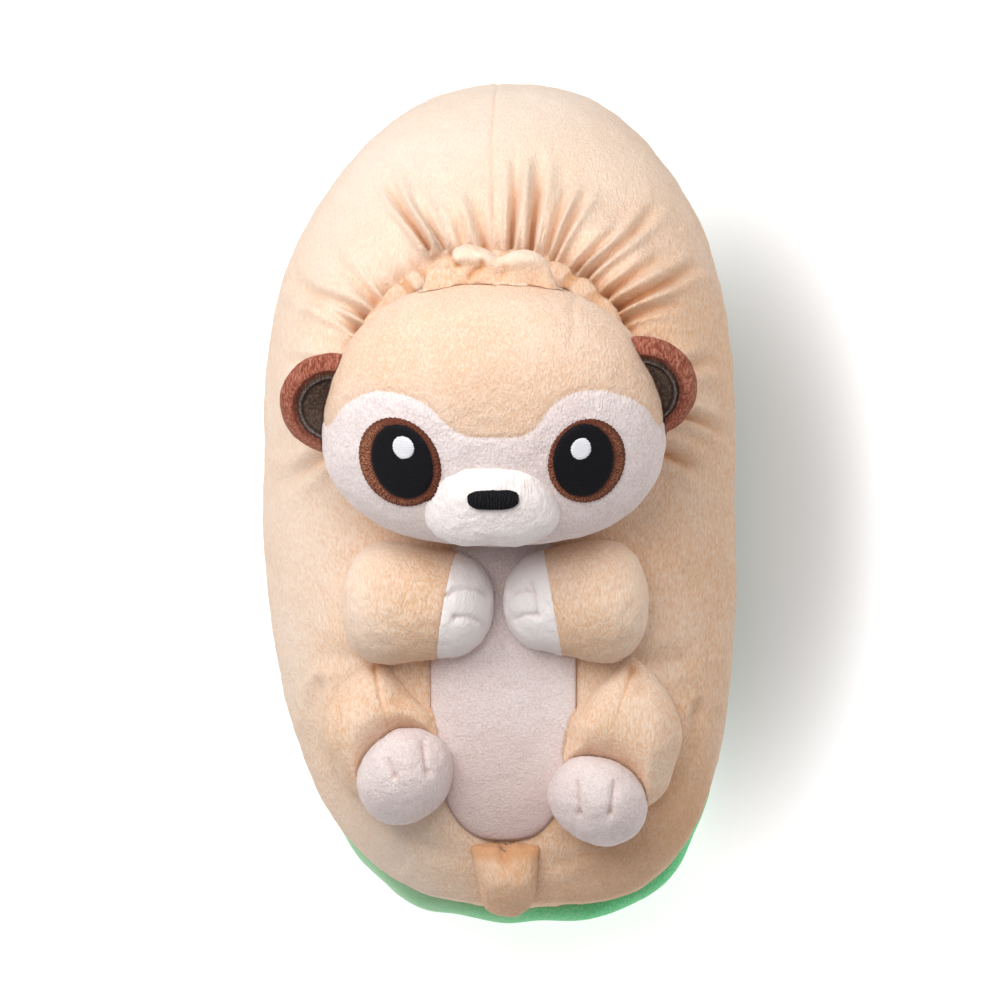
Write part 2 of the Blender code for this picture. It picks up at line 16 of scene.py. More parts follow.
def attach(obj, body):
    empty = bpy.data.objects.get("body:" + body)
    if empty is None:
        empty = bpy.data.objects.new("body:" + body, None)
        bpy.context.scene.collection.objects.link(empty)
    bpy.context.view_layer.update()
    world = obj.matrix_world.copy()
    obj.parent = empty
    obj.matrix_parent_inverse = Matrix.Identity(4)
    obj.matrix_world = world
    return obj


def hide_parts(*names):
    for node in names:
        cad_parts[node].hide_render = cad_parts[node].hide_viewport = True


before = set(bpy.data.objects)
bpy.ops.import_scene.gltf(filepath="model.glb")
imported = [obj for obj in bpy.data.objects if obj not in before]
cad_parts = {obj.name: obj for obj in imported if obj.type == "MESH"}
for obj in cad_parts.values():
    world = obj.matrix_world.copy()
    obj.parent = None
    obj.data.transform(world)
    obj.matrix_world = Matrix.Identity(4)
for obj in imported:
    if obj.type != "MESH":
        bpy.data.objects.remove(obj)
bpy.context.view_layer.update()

# ---- Camera, floor and light ----
# The photographer stood between the two slippers and looked almost straight down, so
# this one is seen a little from its inner side, under a large soft light on the left.

VIEW_HEIGHT = math.radians(80)
VIEW_FROM = 1.9
VIEW_ACROSS, VIEW_ALONG = 0.0871, 0.0036
SHOE_MIDDLE = -0.0012
PIXELS_PER_METRE, PICTURE, SENSOR = 2800, 1001, 36
NEAREST, FARTHEST = 0.05, 20
FLOOR_SIZE, FLOOR_WHITE, FLOOR_ROUGH = 4.0, (0.42, 0.41, 0.405), 0.9
# The floor glows less in an oval right of the slipper, a painted shadow, and more far from it;
# then that painted shadow's middle, size and fading
FLOOR_GLOW, FLOOR_GLOW_FAR = 0.26, 0.82
SHADE_MIDDLE, SHADE_SIZE, SHADE_END = (0.088, 0.0), (0.045, 0.112), 1.5
SKY_WHITE, SKY_STRENGTH = (1.0, 0.995, 0.99), 0.29
LAMP_AIM = Vector((0, 0, 0.05))
# Each lamp's place, size, power and colour
LAMPS = {
    "key": ((-0.45, 0.28, 0.60), 0.5, 1.5, (1.0, 0.985, 0.97)),
    "top": ((-0.11, 0.11, 0.60), 0.45, 2.2, (1.0, 0.985, 0.97)),
    "side": ((0.34, 0.25, 0.55), 0.4, 0.65, (1.0, 0.98, 0.96)),
}
SHEEN_ROUGH, CLOTH_SHINE = 0.45, 0.25
scene = bpy.context.scene


def new_object(name, data):
    made = bpy.data.objects.new(name, data)
    scene.collection.objects.link(made)
    return made


lens = bpy.data.cameras.new("camera")
lens.sensor_width = SENSOR
lens.lens = SENSOR * VIEW_FROM * PIXELS_PER_METRE / PICTURE
lens.clip_start, lens.clip_end = NEAREST, FARTHEST
scene.camera = new_object("camera", lens)
back = Vector((0, -math.cos(VIEW_HEIGHT), math.sin(VIEW_HEIGHT)))
yaw = math.atan((VIEW_ACROSS - SHOE_MIDDLE) / VIEW_FROM)
turned = Matrix.Rotation(math.pi / 2 - VIEW_HEIGHT, 4, "X") @ Matrix.Rotation(yaw, 4, "Y")
place = Vector((VIEW_ACROSS, VIEW_ALONG, 0)) + back * VIEW_FROM
scene.camera.matrix_world = Matrix.Translation(place) @ turned
scene.view_settings.view_transform = "Standard"

scene.world = bpy.data.worlds.new("studio")
scene.world.use_nodes = True
sky = scene.world.node_tree.nodes["Background"]
sky.inputs["Color"].default_value = (*SKY_WHITE, 1)
sky.inputs["Strength"].default_value = SKY_STRENGTH

for name, (spot, size, watts, colour) in LAMPS.items():
    lamp = bpy.data.lights.new(name, "AREA")
    lamp.shape, lamp.size, lamp.energy, lamp.color = "DISK", size, watts, colour
    lamp_object = new_object(name, lamp)
    lamp_object.location = spot
    aim = LAMP_AIM - Vector(spot)
    lamp_object.rotation_euler = aim.to_track_quat("-Z", "Y").to_euler()


class Shade:
    """A socket in a material; sums and products of it add their own Math nodes."""

    def __init__(self, tree, socket=None):
        self.tree, self.socket = tree, socket

    def feed(self, node, sockets):
        for key, value in sockets.items():
            if isinstance(value, Shade):
                self.tree.links.new(value.socket, node.inputs[key])
            else:
                node.inputs[key].default_value = value

    def node(self, kind, settings=None, sockets=None, out=0):
        made = self.tree.nodes.new("ShaderNode" + kind)
        for key, value in (settings or {}).items():
            setattr(made, key, value)
        self.feed(made, sockets or {})
        return Shade(self.tree, made.outputs[out])

    def math(self, operation, *values):
        return self.node("Math", {"operation": operation}, dict(enumerate(values)))

    def __add__(self, other):
        return self.math("ADD", self, other)

    __radd__ = __add__

    def __sub__(self, other):
        return self.math("SUBTRACT", self, other)

    def __rsub__(self, other):
        return self.math("SUBTRACT", other, self)

    def __mul__(self, other):
        return self.math("MULTIPLY", self, other)

    __rmul__ = __mul__

    def sine(self):
        return self.math("SINE", self)

    def between(self, low, high):
        """0 below low and 1 above high, with a soft step."""
        sockets = {"Value": self, "From Min": low, "From Max": high}
        return self.node("MapRange", {"interpolation_type": "SMOOTHSTEP"}, sockets)

    def tint(self, other, share):
        """This colour, turned into the other by a share."""
        other = other if isinstance(other, Shade) else (*other, 1)
        return self.node("Mix", {"data_type": "RGBA"}, {0: share, 6: self, 7: other}, 2)

    def colour(self, value):
        return self.node("Mix", {"data_type": "RGBA"}, {0: 0.0, 6: (*value, 1)}, 2)

    def object_place(self):
        return self.node("TexCoord", out=3)

    def attribute(self, name):
        return self.node("Attribute", {"attribute_name": name}, out=2)

    def stretched(self, scale, turn=(0, 0, 0)):
        sockets = {"Vector": self, "Scale": scale, "Rotation": turn}
        return self.node("Mapping", None, sockets)

    def cloud(self, scale, detail=2.0, rough=0.5, distort=0.0):
        sockets = {
            "Vector": self, "Scale": scale, "Detail": detail,
            "Roughness": rough, "Distortion": distort,
        }
        return self.node("TexNoise", None, sockets)

    def relief(self, height, distance, strength=1.0, below=None):
        sockets = {"Height": height, "Distance": distance, "Strength": strength}
        if below:
            sockets["Normal"] = below
        return self.node("Bump", None, sockets)


def new_material(name):
    material = bpy.data.materials.new(name)
    material.use_nodes = True
    return material, Shade(material.node_tree)


def finish_material(material, colour, roughness, normal, more=None):
    """Feeds the shader, which has cloth's low shine unless more says otherwise."""
    sockets = {
        "Base Color": colour, "Roughness": roughness, "Normal": normal,
        "Sheen Roughness": SHEEN_ROUGH, "Specular IOR Level": CLOTH_SHINE, **(more or {}),
    }
    colour.feed(material.node_tree.nodes["Principled BSDF"], sockets)
    return material


bm = bmesh.new()
bmesh.ops.create_grid(bm, x_segments=1, y_segments=1, size=FLOOR_SIZE / 2)
floor_mesh = bpy.data.meshes.new("floor")
bm.to_mesh(floor_mesh)
bm.free()
floor = new_object("floor", floor_mesh)
paper, shade = new_material("floor_paper")
place = shade.object_place()
white = shade.colour(FLOOR_WHITE).tint([v * 0.995 for v in FLOOR_WHITE], place.cloud(3.0))
# The glow keeps the floor white, but is dimmed in an oval right of the slipper where its shadow
# falls: a painted shadow
reach = [
    (shade.node("SeparateXYZ", None, {"Vector": place}, axis) - SHADE_MIDDLE[axis])
    * (1 / SHADE_SIZE[axis]) for axis in range(2)
]
out_of_painted_shadow = (reach[0] * reach[0] + reach[1] * reach[1]).between(0.0, SHADE_END)
glow_with_painted_shadow = shade.colour([FLOOR_GLOW] * 3).tint([FLOOR_GLOW_FAR] * 3, out_of_painted_shadow)
finish_material(
    paper, white, FLOOR_ROUGH, shade.relief(place.cloud(900.0), 0.00002),
    {"Emission Color": glow_with_painted_shadow, "Emission Strength": 1.0},
)
floor_mesh.materials.append(paper)

# ---- Upper ----
# One padded wall of plush, filling and lining. The plush is cut full, gathered by the
# elastic of the collar, and closed by one seam down the middle of the heel.

ROOM_LENGTH, ROOM_WIDTH = 0.250, 0.125
WIDEST_FROM_HEEL = 0.101
HEEL_SQUARE, TOE_SQUARE = 2.15, 3.05
HEEL_SWING, TOE_SWING = 0.0035, 0.010
PAD_SIDE, PAD_RIM = 0.020, 0.007
WIDEST_RISE, THROAT_RISE, HEEL_RISE = 0.026, 0.068, 0.066
VAMP_ROUND, SIDE_ROUND, HEEL_ROUND = 1.6, 1.9, 2.1
UNDERCUT, UNDERCUT_TOE, UNDERCUT_LINING = 0.010, 0.003, 0.004
COLLAR_LENGTH, COLLAR_WIDTH, COLLAR_FROM_HEEL = 0.077, 0.090, 0.072
RIM_SLOPE = 0.0015
SOLE_THICKNESS = 0.016
GAP = 0.0003
MERGE = 1e-7

SEAT = SOLE_THICKNESS + GAP
WIDEST_Y = ROOM_LENGTH / 2 - WIDEST_FROM_HEEL
COLLAR_Y = ROOM_LENGTH / 2 + PAD_SIDE - COLLAR_FROM_HEEL - COLLAR_LENGTH / 2
THROAT_Y = COLLAR_Y - COLLAR_LENGTH / 2
TOE_Y = -ROOM_LENGTH / 2 - PAD_SIDE

# A cloth's tones: its own; its deep one, for darker pile and for painted shade in its hollows;
# and the one where it is brushed pale, also used for painted light
TAN = ((0.870, 0.605, 0.415), (0.660, 0.320, 0.140), (0.940, 0.805, 0.695))
LINING = ((0.80, 0.66, 0.50), (0.62, 0.44, 0.29), (0.86, 0.76, 0.63))

# Each gather: its line on the plan from the collar outwards, how deep it is and how wide
GATHERS = (
    (((-0.0226, 0.0770), (-0.0315, 0.0907), (-0.0383, 0.1050)), 0.0034, 0.0017),
    (((-0.0175, 0.0775), (-0.0234, 0.0869), (-0.0285, 0.0963)), 0.0022, 0.0015),
    (((-0.0112, 0.0780), (-0.0128, 0.0860), (-0.0165, 0.0950)), 0.0013, 0.0018),
    (((-0.0033, 0.0770), (-0.0062, 0.0893), (-0.0088, 0.0995)), 0.0018, 0.0022),
    (((0.0058, 0.0780), (0.0068, 0.0947), (0.0069, 0.1113)), 0.0028, 0.0016),
    (((0.0125, 0.0770), (0.0144, 0.0948), (0.0152, 0.1114)), 0.0031, 0.0018),
    (((0.0186, 0.0760), (0.0224, 0.0894), (0.0254, 0.0995)), 0.0021, 0.0016),
    (((0.0201, 0.0730), (0.0269, 0.0876), (0.0319, 0.0997)), 0.0024, 0.0015),
    (((0.0247, 0.0671), (0.0353, 0.0761), (0.0451, 0.0862)), 0.0026, 0.0016),
    (((0.0292, 0.0650), (0.0438, 0.0790), (0.0570, 0.0966)), 0.0028, 0.0017),
    (((0.0346, 0.0580), (0.0456, 0.0656), (0.0572, 0.0753)), 0.0026, 0.0015),
    (((0.0377, 0.0537), (0.0542, 0.0625), (0.0716, 0.0766)), 0.0034, 0.0018),
    (((0.0408, 0.0500), (0.0520, 0.0545), (0.0640, 0.0590)), 0.0022, 0.0016),
    (((0.0480, 0.0330), (0.0620, 0.0350), (0.0765, 0.0421)), 0.0024, 0.0022),
    (((0.0520, 0.0185), (0.0673, 0.0187), (0.0810, 0.0165)), 0.0026, 0.0020),
    (((0.0480, 0.0080), (0.0610, 0.0045), (0.0728, 0.0009)), 0.0026, 0.0024),
    (((-0.0415, 0.0590), (-0.0500, 0.0690), (-0.0580, 0.0800)), 0.0014, 0.0022),
    (((-0.0440, 0.0530), (-0.0596, 0.0613), (-0.0731, 0.0714)), 0.0022, 0.0022),
    (((-0.0420, 0.0450), (-0.0541, 0.0542), (-0.0663, 0.0629)), 0.0024, 0.0018),
    (((-0.0500, 0.0330), (-0.0620, 0.0370), (-0.0740, 0.0400)), 0.0015, 0.0024),
    (((-0.0520, 0.0060), (-0.0640, 0.0010), (-0.0740, -0.0040)), 0.0016, 0.0028),
)
# Soft troughs where the legs and arms pull on the vamp
PULLS = (
    (((-0.0600, -0.0720), (-0.0630, -0.0880), (-0.0580, -0.1040)), 0.0012, 0.0024),
    (((0.0700, -0.0800), (0.0680, -0.0960), (0.0600, -0.1100)), 0.0012, 0.0024),
    (((-0.0420, -0.0640), (-0.0520, -0.0630), (-0.0620, -0.0600)), 0.0012, 0.0024),
    (((0.0500, -0.0650), (0.0600, -0.0640), (0.0700, -0.0600)), 0.0014, 0.0024),
    (((0.0330, -0.1290), (0.0180, -0.1330), (0.0020, -0.1310)), 0.0010, 0.0022),
    (((-0.0300, -0.1230), (-0.0180, -0.1290), (-0.0060, -0.1300)), 0.0010, 0.0022),
)
# How much deeper and narrower the elastic draws them, how they fade and their ridges
GATHER_DEEPER, GATHER_NARROWER, GATHER_FADE, GATHER_RIDGE = 1.75, 0.76, 0.75, 0.75
PULL_FADE, PULL_RIDGE = 0.4, 0.7
HEEL_SEAM_X, HEEL_SEAM_FROM = -0.0012, 0.070
SMALL_GATHERS, SMALL_GATHER, HEM_WIDTH = 46, 0.0012, 0.0036
# How deep the hem and the seams lie, and how high the filling swells beside the hem
HEM_DIP, SEAM_DIP, PANEL_DIP, HEM_SWELL = 0.0020, 0.0005, 0.0006, 0.0042
TOE_FROM, TOE_FADE = 0.085, 0.03
ANIMAL_SIDE = 0.0038
# How many brushed areas, patches, strokes and fibres of pile a metre holds
BRUSHED, PATCHES, STROKES, FIBRES = 30.0, 140.0, 1350.0, 1900.0
PATCH_RELIEF, STROKE_RELIEF, RAGGED = 0.0020, 0.0007, 0.0012


def lerp(start, end, share):
    return start + (end - start) * share


def power(value, exponent):
    return np.sign(value) * np.abs(value) ** exponent


def ramp(value, length=1.0):
    """Climbs from 0 to 1 over a length, and stays there."""
    return np.clip(value / length, 0, 1)


def bell(distance, width):
    return np.exp(-((distance / width) ** 2))


def squared(across, along, square):
    """0 in the middle of a squared-off round, and 1 on its edge."""
    return (np.abs(across) ** square + np.abs(along) ** square) ** (1 / square)


def dome(share, square):
    """1 in the middle of a pad, and rounded down to 0 on its edge."""
    return np.sqrt(np.maximum(0, 1 - share**square))


class Skin:
    """One surface of the upper, from the sole over its widest level to the collar."""

    def __init__(self, out=0.0, up=0.0, undercut=UNDERCUT, rim=0.0, toe_square=TOE_SQUARE):
        self.half_width = ROOM_WIDTH / 2 + PAD_SIDE + out
        self.heel_reach = WIDEST_FROM_HEEL + PAD_SIDE + out
        self.toe_reach = ROOM_LENGTH - WIDEST_FROM_HEEL + PAD_SIDE + out
        self.up = up
        self.undercut = undercut
        self.rim = rim
        self.toe_square = toe_square

    def outline(self, turn, inset=0.0):
        across, along = np.cos(turn), np.sin(turn)
        square = np.where(along > 0, HEEL_SQUARE, self.toe_square)
        reach = np.where(along > 0, self.heel_reach, self.toe_reach) - inset
        size = 1 / squared(across, along, square)
        swing = np.where(along > 0, HEEL_SWING, TOE_SWING)
        x = (self.half_width - inset) * across * size + swing * (along * size) ** 2
        return x, WIDEST_Y + reach * along * size

    def base_inset(self, turn):
        toe = np.maximum(0, -np.sin(turn)) ** 2
        return self.undercut * lerp(1, UNDERCUT_TOE / UNDERCUT, toe)

    def point(self, turn, rise):
        """rise is -1 at the sole, 0 at the widest level and 1 at the collar's edge."""
        slope = rise * math.pi / 2
        along = np.sin(turn)
        inset = np.where(rise <= 0, self.base_inset(turn) * (1 - np.cos(slope)), 0)
        x, y = self.outline(turn, inset)
        low = SEAT + WIDEST_RISE * (1 + np.sin(slope))
        edge_x = (COLLAR_WIDTH / 2 - self.rim) * np.cos(turn)
        edge_y = COLLAR_Y + (COLLAR_LENGTH / 2 - self.rim) * along
        edge_z = SEAT + lerp(THROAT_RISE, HEEL_RISE, (1 + along) / 2) + self.up
        bend = lerp(SIDE_ROUND, np.where(along > 0, HEEL_ROUND, VAMP_ROUND), np.abs(along))
        inward = np.where(rise > 0, 1 - np.cos(slope), 0)
        climb = (1 - np.abs(np.cos(slope)) ** bend) ** (1 / bend)
        high = lerp(SEAT + WIDEST_RISE, edge_z, climb)
        z = np.where(rise <= 0, low, high)
        return np.stack((lerp(x, edge_x, inward), lerp(y, edge_y, inward), z), 1)


def spots(mesh):
    """Places and outward directions of a mesh's vertices, as rows of three."""
    found = []
    for source, name in ((mesh.vertices, "co"), (mesh.vertex_normals, "vector")):
        flat = np.empty(len(source) * 3, np.float32)
        source.foreach_get(name, flat)
        found.append(flat.reshape(-1, 3).astype(float))
    return found


def put(mesh, points):
    mesh.vertices.foreach_set("co", points.astype(np.float32).ravel())
    mesh.update()


def note(mesh, **kept):
    """Keeps a number for each vertex under a name, for the material to read."""
    for name, values in kept.items():
        values = np.zeros(len(mesh.vertices)) + values
        values = ramp(values) if name == "hollow" else values
        found = mesh.attributes.get(name) or mesh.attributes.new(name, "FLOAT", "POINT")
        found.data.foreach_set("value", values.astype(np.float32))


def noted(mesh, name):
    found = np.empty(len(mesh.vertices), np.float32)
    mesh.attributes[name].data.foreach_get("value", found)
    return found.astype(float)


def cloth_mesh(name, bm):
    """A closed cloth form's mesh, with its faces turned outwards."""
    bm.normal_update()
    bmesh.ops.recalc_face_normals(bm, faces=bm.faces)
    mesh = bpy.data.meshes.new(name)
    bm.to_mesh(mesh)
    bm.free()
    mesh.shade_smooth()
    return mesh


def wrapped(name, turns, levels, place):
    """A grid laid round a form by two shares, and welded where its edges meet."""
    bm = bmesh.new()
    bmesh.ops.create_grid(bm, x_segments=turns, y_segments=levels, size=0.5)
    around = bm.verts.layers.float.new("around")
    up = bm.verts.layers.float.new("up")
    shares = np.array([vertex.co[:2] for vertex in bm.verts]) + 0.5
    points = place(shares[:, 0], shares[:, 1])
    for vertex, share, point in zip(bm.verts, shares.tolist(), points.tolist()):
        vertex[around], vertex[up] = share
        vertex.co = point
    bmesh.ops.remove_doubles(bm, verts=bm.verts, dist=MERGE)
    return cloth_mesh(name, bm)


def rumple(points, size, seed=0.0):
    """Soft unevenness between -1 and 1, with lumps of about this size."""
    shift = Vector((seed, seed * 0.7, -seed * 1.3))
    scaled = (points / size).tolist()
    return np.array([noise.noise(Vector(point) + shift) for point in scaled])


def lumps(points, seed, *sizes):
    """Soft unevenness from lumps of some heights and sizes, each with its own seed."""
    return sum(
        height * rumple(points, size, seed + step) for step, (height, size) in enumerate(sizes)
    )


def smooth_line(points, steps=7):
    """A curve through a few chosen points."""
    points = [np.array(point, float) for point in points]
    ends = [2 * points[0] - points[1], *points, 2 * points[-1] - points[-2]]
    line = []
    for before, start, end, after in zip(ends, ends[1:], ends[2:], ends[3:]):
        for share in np.linspace(0, 1, steps, endpoint=False):
            line.append(0.5 * (
                2 * start + (end - before) * share
                + (2 * before - 5 * start + 4 * end - after) * share**2
                + (3 * start - before - 3 * end + after) * share**3
            ))
    return np.array([*line, points[-1]])


def from_line(points, line):
    """How far each point lies from a line, and its share of the way along it."""
    gaps = np.full(len(points), np.inf)
    shares = np.zeros(len(points))
    steps = len(line) - 1
    for index, (start, end) in enumerate(zip(line, line[1:])):
        step = end - start
        share = np.clip((points - start) @ step / (step @ step), 0, 1)
        gap = np.linalg.norm(points - start - share[:, None] * step, axis=1)
        nearer = gap < gaps
        gaps = np.where(nearer, gap, gaps)
        shares = np.where(nearer, (index + share) / steps, shares)
    return gaps, shares


def fold(points, line, depth, width, fade=0.8, ridge=0.5):
    """A trough along a line that fades out at its far end, between two soft ridges."""
    gap, share = from_line(points, smooth_line(line))
    width = width * (0.75 + 0.75 * share)
    swell = ridge * bell(gap - 2.1 * width, 1.2 * width)
    return depth * np.maximum(0, 1 - share) ** fade * (swell - bell(gap, width))


def plush(name, tones, second=None, lie=(1.0, 0.30, 1.0), pile=1.0, sheen=0.14):
    """Short brushed pile. second is the tones past the piece's noted border, if any."""
    material, shade = new_material(name)
    place = shade.object_place()
    brushed = place.cloud(BRUSHED, 2.0, 0.5, 0.4).between(0.38, 0.66)
    patches = place.cloud(PATCHES, 3.0, 0.6, 0.5)
    strokes = place.stretched(lie).cloud(STROKES, 2.0, 0.55, 0.5)
    fibres = place.stretched(lie).cloud(FIBRES, 2.0, 0.60, 0.3)
    hollow = shade.attribute("hollow").between(0.0, 1.0)
    layers = (
        ("pale", brushed * 0.34), ("deep", (1 - brushed) * 0.10),
        ("deep", (1 - patches.between(0.34, 0.58)) * 0.12),
        ("pale", strokes.between(0.47, 0.64) * 0.46),
        ("deep", (1 - strokes.between(0.36, 0.52)) * 0.22),
        ("pale", fibres.between(0.48, 0.66) * 0.34),
        ("deep", (1 - fibres.between(0.34, 0.52)) * 0.20),
        # The last two layers are painted: pale where painted light is noted, deep where painted
        # shade is noted
        ("pale", shade.attribute("faded")), ("deep", hollow * 0.78),
    )

    def toned(tone, deep, pale):
        base = shade.colour(tone)
        for towards, share in layers:
            base = base.tint(pale if towards == "pale" else deep, share)
        return base

    colour = toned(*tones)
    if second:
        ragged = shade.attribute("border") + (fibres - 0.5) * RAGGED
        colour = colour.tint(toned(*second), ragged.between(-RAGGED / 10, RAGGED / 10))
    nap = shade.relief(patches, PATCH_RELIEF * pile, 0.30)
    nap = shade.relief(strokes + 0.5 * fibres, STROKE_RELIEF * pile, 0.75, nap)
    soft = {"Sheen Weight": sheen, "Sheen Tint": (*tones[2], 1)}
    return finish_material(material, colour, 0.86 + 0.10 * fibres, nap, soft)


def tree_of(mesh):
    places = [vertex.co for vertex in mesh.vertices]
    return BVHTree.FromPolygons(places, [face.vertices for face in mesh.polygons])


def place_piece(mesh, material, slot, fill, *nodes, points=None, **kept):
    """Adds a stuffed piece in place of its CAD nodes, and returns its surface."""
    if points is not None:
        put(mesh, points)
    note(mesh, **kept)
    if not len(mesh.materials):
        mesh.materials.append(material)
    piece = new_object(mesh.name, mesh)
    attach(piece, "root")
    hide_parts(*nodes)
    return tree_of(mesh)


OUTER_LEVELS, LINING_LEVELS, UPPER_TURNS = 118, 30, 640
LEVELS = OUTER_LEVELS + LINING_LEVELS + 2
outer_skin = Skin()
lining_skin = Skin(-PAD_SIDE, -PAD_RIM, UNDERCUT_LINING, RIM_SLOPE)


def upper_place(around, up):
    """Up the outer skin, over the rim, down the lining and back to the start."""
    level = np.round(up * LEVELS).astype(int)
    turn = around * math.tau
    outside = outer_skin.point(turn, ramp(level, OUTER_LEVELS) * 2 - 1)
    inside = lining_skin.point(turn, 1 - 2 * ramp(level - OUTER_LEVELS - 1, LINING_LEVELS))
    closing = level == LEVELS
    outside[closing] = outer_skin.point(turn[closing], np.full(closing.sum(), -1.0))
    return np.where(((level <= OUTER_LEVELS) | closing)[:, None], outside, inside)


def rim_distance(points):
    """How far outside the collar's edge a point lies on the plan, and its turn."""
    x, y = points[:, 0], points[:, 1] - COLLAR_Y
    turn = np.arctan2(y / (COLLAR_LENGTH / 2), x / (COLLAR_WIDTH / 2))
    share = np.hypot(x / (COLLAR_WIDTH / 2), y / (COLLAR_LENGTH / 2))
    return np.hypot(x, y) * (1 - 1 / np.maximum(share, 0.05)), turn


BELLY_WIDTH, BELLY_SQUARE = 0.050, 2.7
BELLY_TOP, BELLY_END = lerp(THROAT_Y, TOE_Y, 0.10), lerp(THROAT_Y, TOE_Y, 0.860)
BELLY_Y, BELLY_LENGTH = (BELLY_TOP + BELLY_END) / 2, BELLY_TOP - BELLY_END


def belly_share(points):
    """1 on the belly panel's edge, less inside it and more outside."""
    across = (points[:, 0] - ANIMAL_SIDE) / (BELLY_WIDTH / 2)
    along = (points[:, 1] - BELLY_Y) / (BELLY_LENGTH / 2)
    return squared(across, along, BELLY_SQUARE)


upper_mesh = wrapped("upper_plush", UPPER_TURNS, LEVELS, upper_place)
plain_upper = tree_of(upper_mesh)
points, ways = spots(upper_mesh)
x, y, z = points.T
up = noted(upper_mesh, "up") * LEVELS
outside = ramp(OUTER_LEVELS - up, 3) * ramp(up, 2)
past_rim, turn = rim_distance(points)
seam_gap = past_rim - HEM_WIDTH
near_top = ramp(z - SEAT - WIDEST_RISE, 0.02)
creased = np.zeros(len(points))
for line, depth, width in GATHERS:
    depth, width = GATHER_DEEPER * depth, GATHER_NARROWER * width
    creased += fold(points[:, :2], line, depth, width, GATHER_FADE, GATHER_RIDGE) * near_top
for line, depth, width in PULLS:
    creased += fold(points[:, :2], line, depth, width, PULL_FADE, PULL_RIDGE) * near_top
lean = 0.35 * np.sin(3 * turn + 0.8) + 0.2 * np.sin(7 * turn)
pleat = np.sin(SMALL_GATHERS * turn + 2.2 * lean + 0.9 * rumple(points, 0.010, 4.0))
behind = ramp(y - HEEL_SEAM_FROM, 0.01)
heel_seam = np.abs(x - HEEL_SEAM_X - 0.0006 * np.sin(y * 90))
low = ramp(0.012 - z + SEAT, 0.012)
belly_edge = (belly_share(points) - 1) * 0.025
over_vamp = (y < THROAT_Y) * near_top
shift = creased - HEM_DIP * bell(seam_gap, 0.0024)
shift += HEM_SWELL * bell(seam_gap - 0.013, 0.0105)
beside_hem = np.exp(-np.maximum(seam_gap, 0) / 0.0060) * (seam_gap > -0.004)
shift += SMALL_GATHER * pleat * beside_hem - SEAM_DIP * behind * bell(heel_seam, 0.0007)
shift += 0.0006 * low * np.sin(105 * np.arctan2(y, x) + 3 * lean)
shift += lumps(points, 1.0, (0.0010, 0.030), (0.00045, 0.009))
shift *= 1 - over_vamp * ramp(-belly_edge, 0.0014)
shift -= PANEL_DIP * over_vamp * bell(belly_edge, 0.0012)
shift += 0.00020 * rumple(points, 0.0032, 3.0) * (belly_edge > 0)
toe = ramp(-y - TOE_FROM, TOE_FADE)
# Painted shade: darker in the gathers, pulls and pleats, along the hem, heel and belly panel
# seams, low by the sole, and towards the inner side and the toe's inner corner, away from the
# lamps
hollow = ramp(-creased, 0.0040) ** 1.3 + 0.45 * bell(seam_gap, 0.0022)
hollow += 0.36 * behind * bell(heel_seam, 0.0005)
hollow += 0.30 * ramp(-pleat) * np.exp(-np.maximum(seam_gap, 0) / 0.005)
hollow += 0.35 * over_vamp * bell(belly_edge, 0.0010) + 0.6 * low**3
hollow += 0.26 * ramp(x - 0.010, 0.05) * ramp(ways[:, 2] + 0.4) + 0.34 * toe * ramp(x, TOE_FADE)
# Painted light: paler towards the heel and the outer side, and at the toe's outer corner, nearer
# the lamps
painted_heel_light = 0.75 * ramp(y - 0.4 * x - 0.030, 0.10)
painted_lighting = np.maximum(0.5 * toe * ramp(-x, TOE_FADE), 0.5 * ramp(-x - 0.045, 0.025))
tan_plush = plush("upper_tan_plush", TAN)
cream_plush = plush("lining_cream_plush", LINING, pile=0.7)
upper_mesh.materials.append(tan_plush)
upper_mesh.materials.append(cream_plush)
for face in upper_mesh.polygons:
    face.material_index = int(all(up[index] > OUTER_LEVELS + 2 for index in face.vertices))
upper_tree = place_piece(
    upper_mesh, tan_plush, "plush_tan", 0.7, "upper",
    points=points + ways * (shift * outside)[:, None],
    hollow=ramp(hollow) * outside, faded=np.maximum(painted_heel_light, painted_lighting) * outside,
)

# What lies on the vamp rests on the dressed surfaces under it
resting = [upper_tree]


def top_under(x, y, trees=resting):
    """The height of what lies under a place on the plan, or None past its edge."""
    high = Vector((x, y, 0.5))
    found = [tree.ray_cast(high, Vector((0, 0, -1)))[0] for tree in trees]
    heights = [spot.z for spot in found if spot]
    return max(heights) if heights else None


def settle(points, gap=GAP):
    """Lifts what would sink into the pieces below it until it lies on them."""
    settled = points.copy()
    for index, (x, y, z) in enumerate(points.tolist()):
        under = top_under(x, y)
        if under is not None and z < under + gap:
            settled[index, 2] = under + gap
    return settled


def press(points, tree, gap=GAP, reach=0.02):
    """Pushes what would sink into a stuffed neighbour back to its surface."""
    pressed = points.copy()
    for index, point in enumerate(points.tolist()):
        spot, way = tree.find_nearest(Vector(point), reach)[:2]
        if spot and (Vector(point) - spot).dot(way) < gap:
            pressed[index] = spot + way * gap
    return pressed


# ---- Sole ----
# A foam outsole covered with green plush, soft and rounded along its edge, flat below
# and sprung at the toe; the upper is sewn to it in a tight seam.

SOLE_TOE_SQUARE = 3.4
SOLE_ROUND, SOLE_ROUND_TOE = 0.005, 0.026
SOLE_LIP, SOLE_LIP_TOE = 0.002, 0.006
# The shares of the way round its section where the flat underside ends and the top starts
SOLE_UNDER, SOLE_OVER = 0.3, 0.8
GREEN = ((0.165, 0.930, 0.390), (0.080, 0.620, 0.210), (0.600, 0.900, 0.600))
sole_skin = Skin(toe_square=SOLE_TOE_SQUARE)


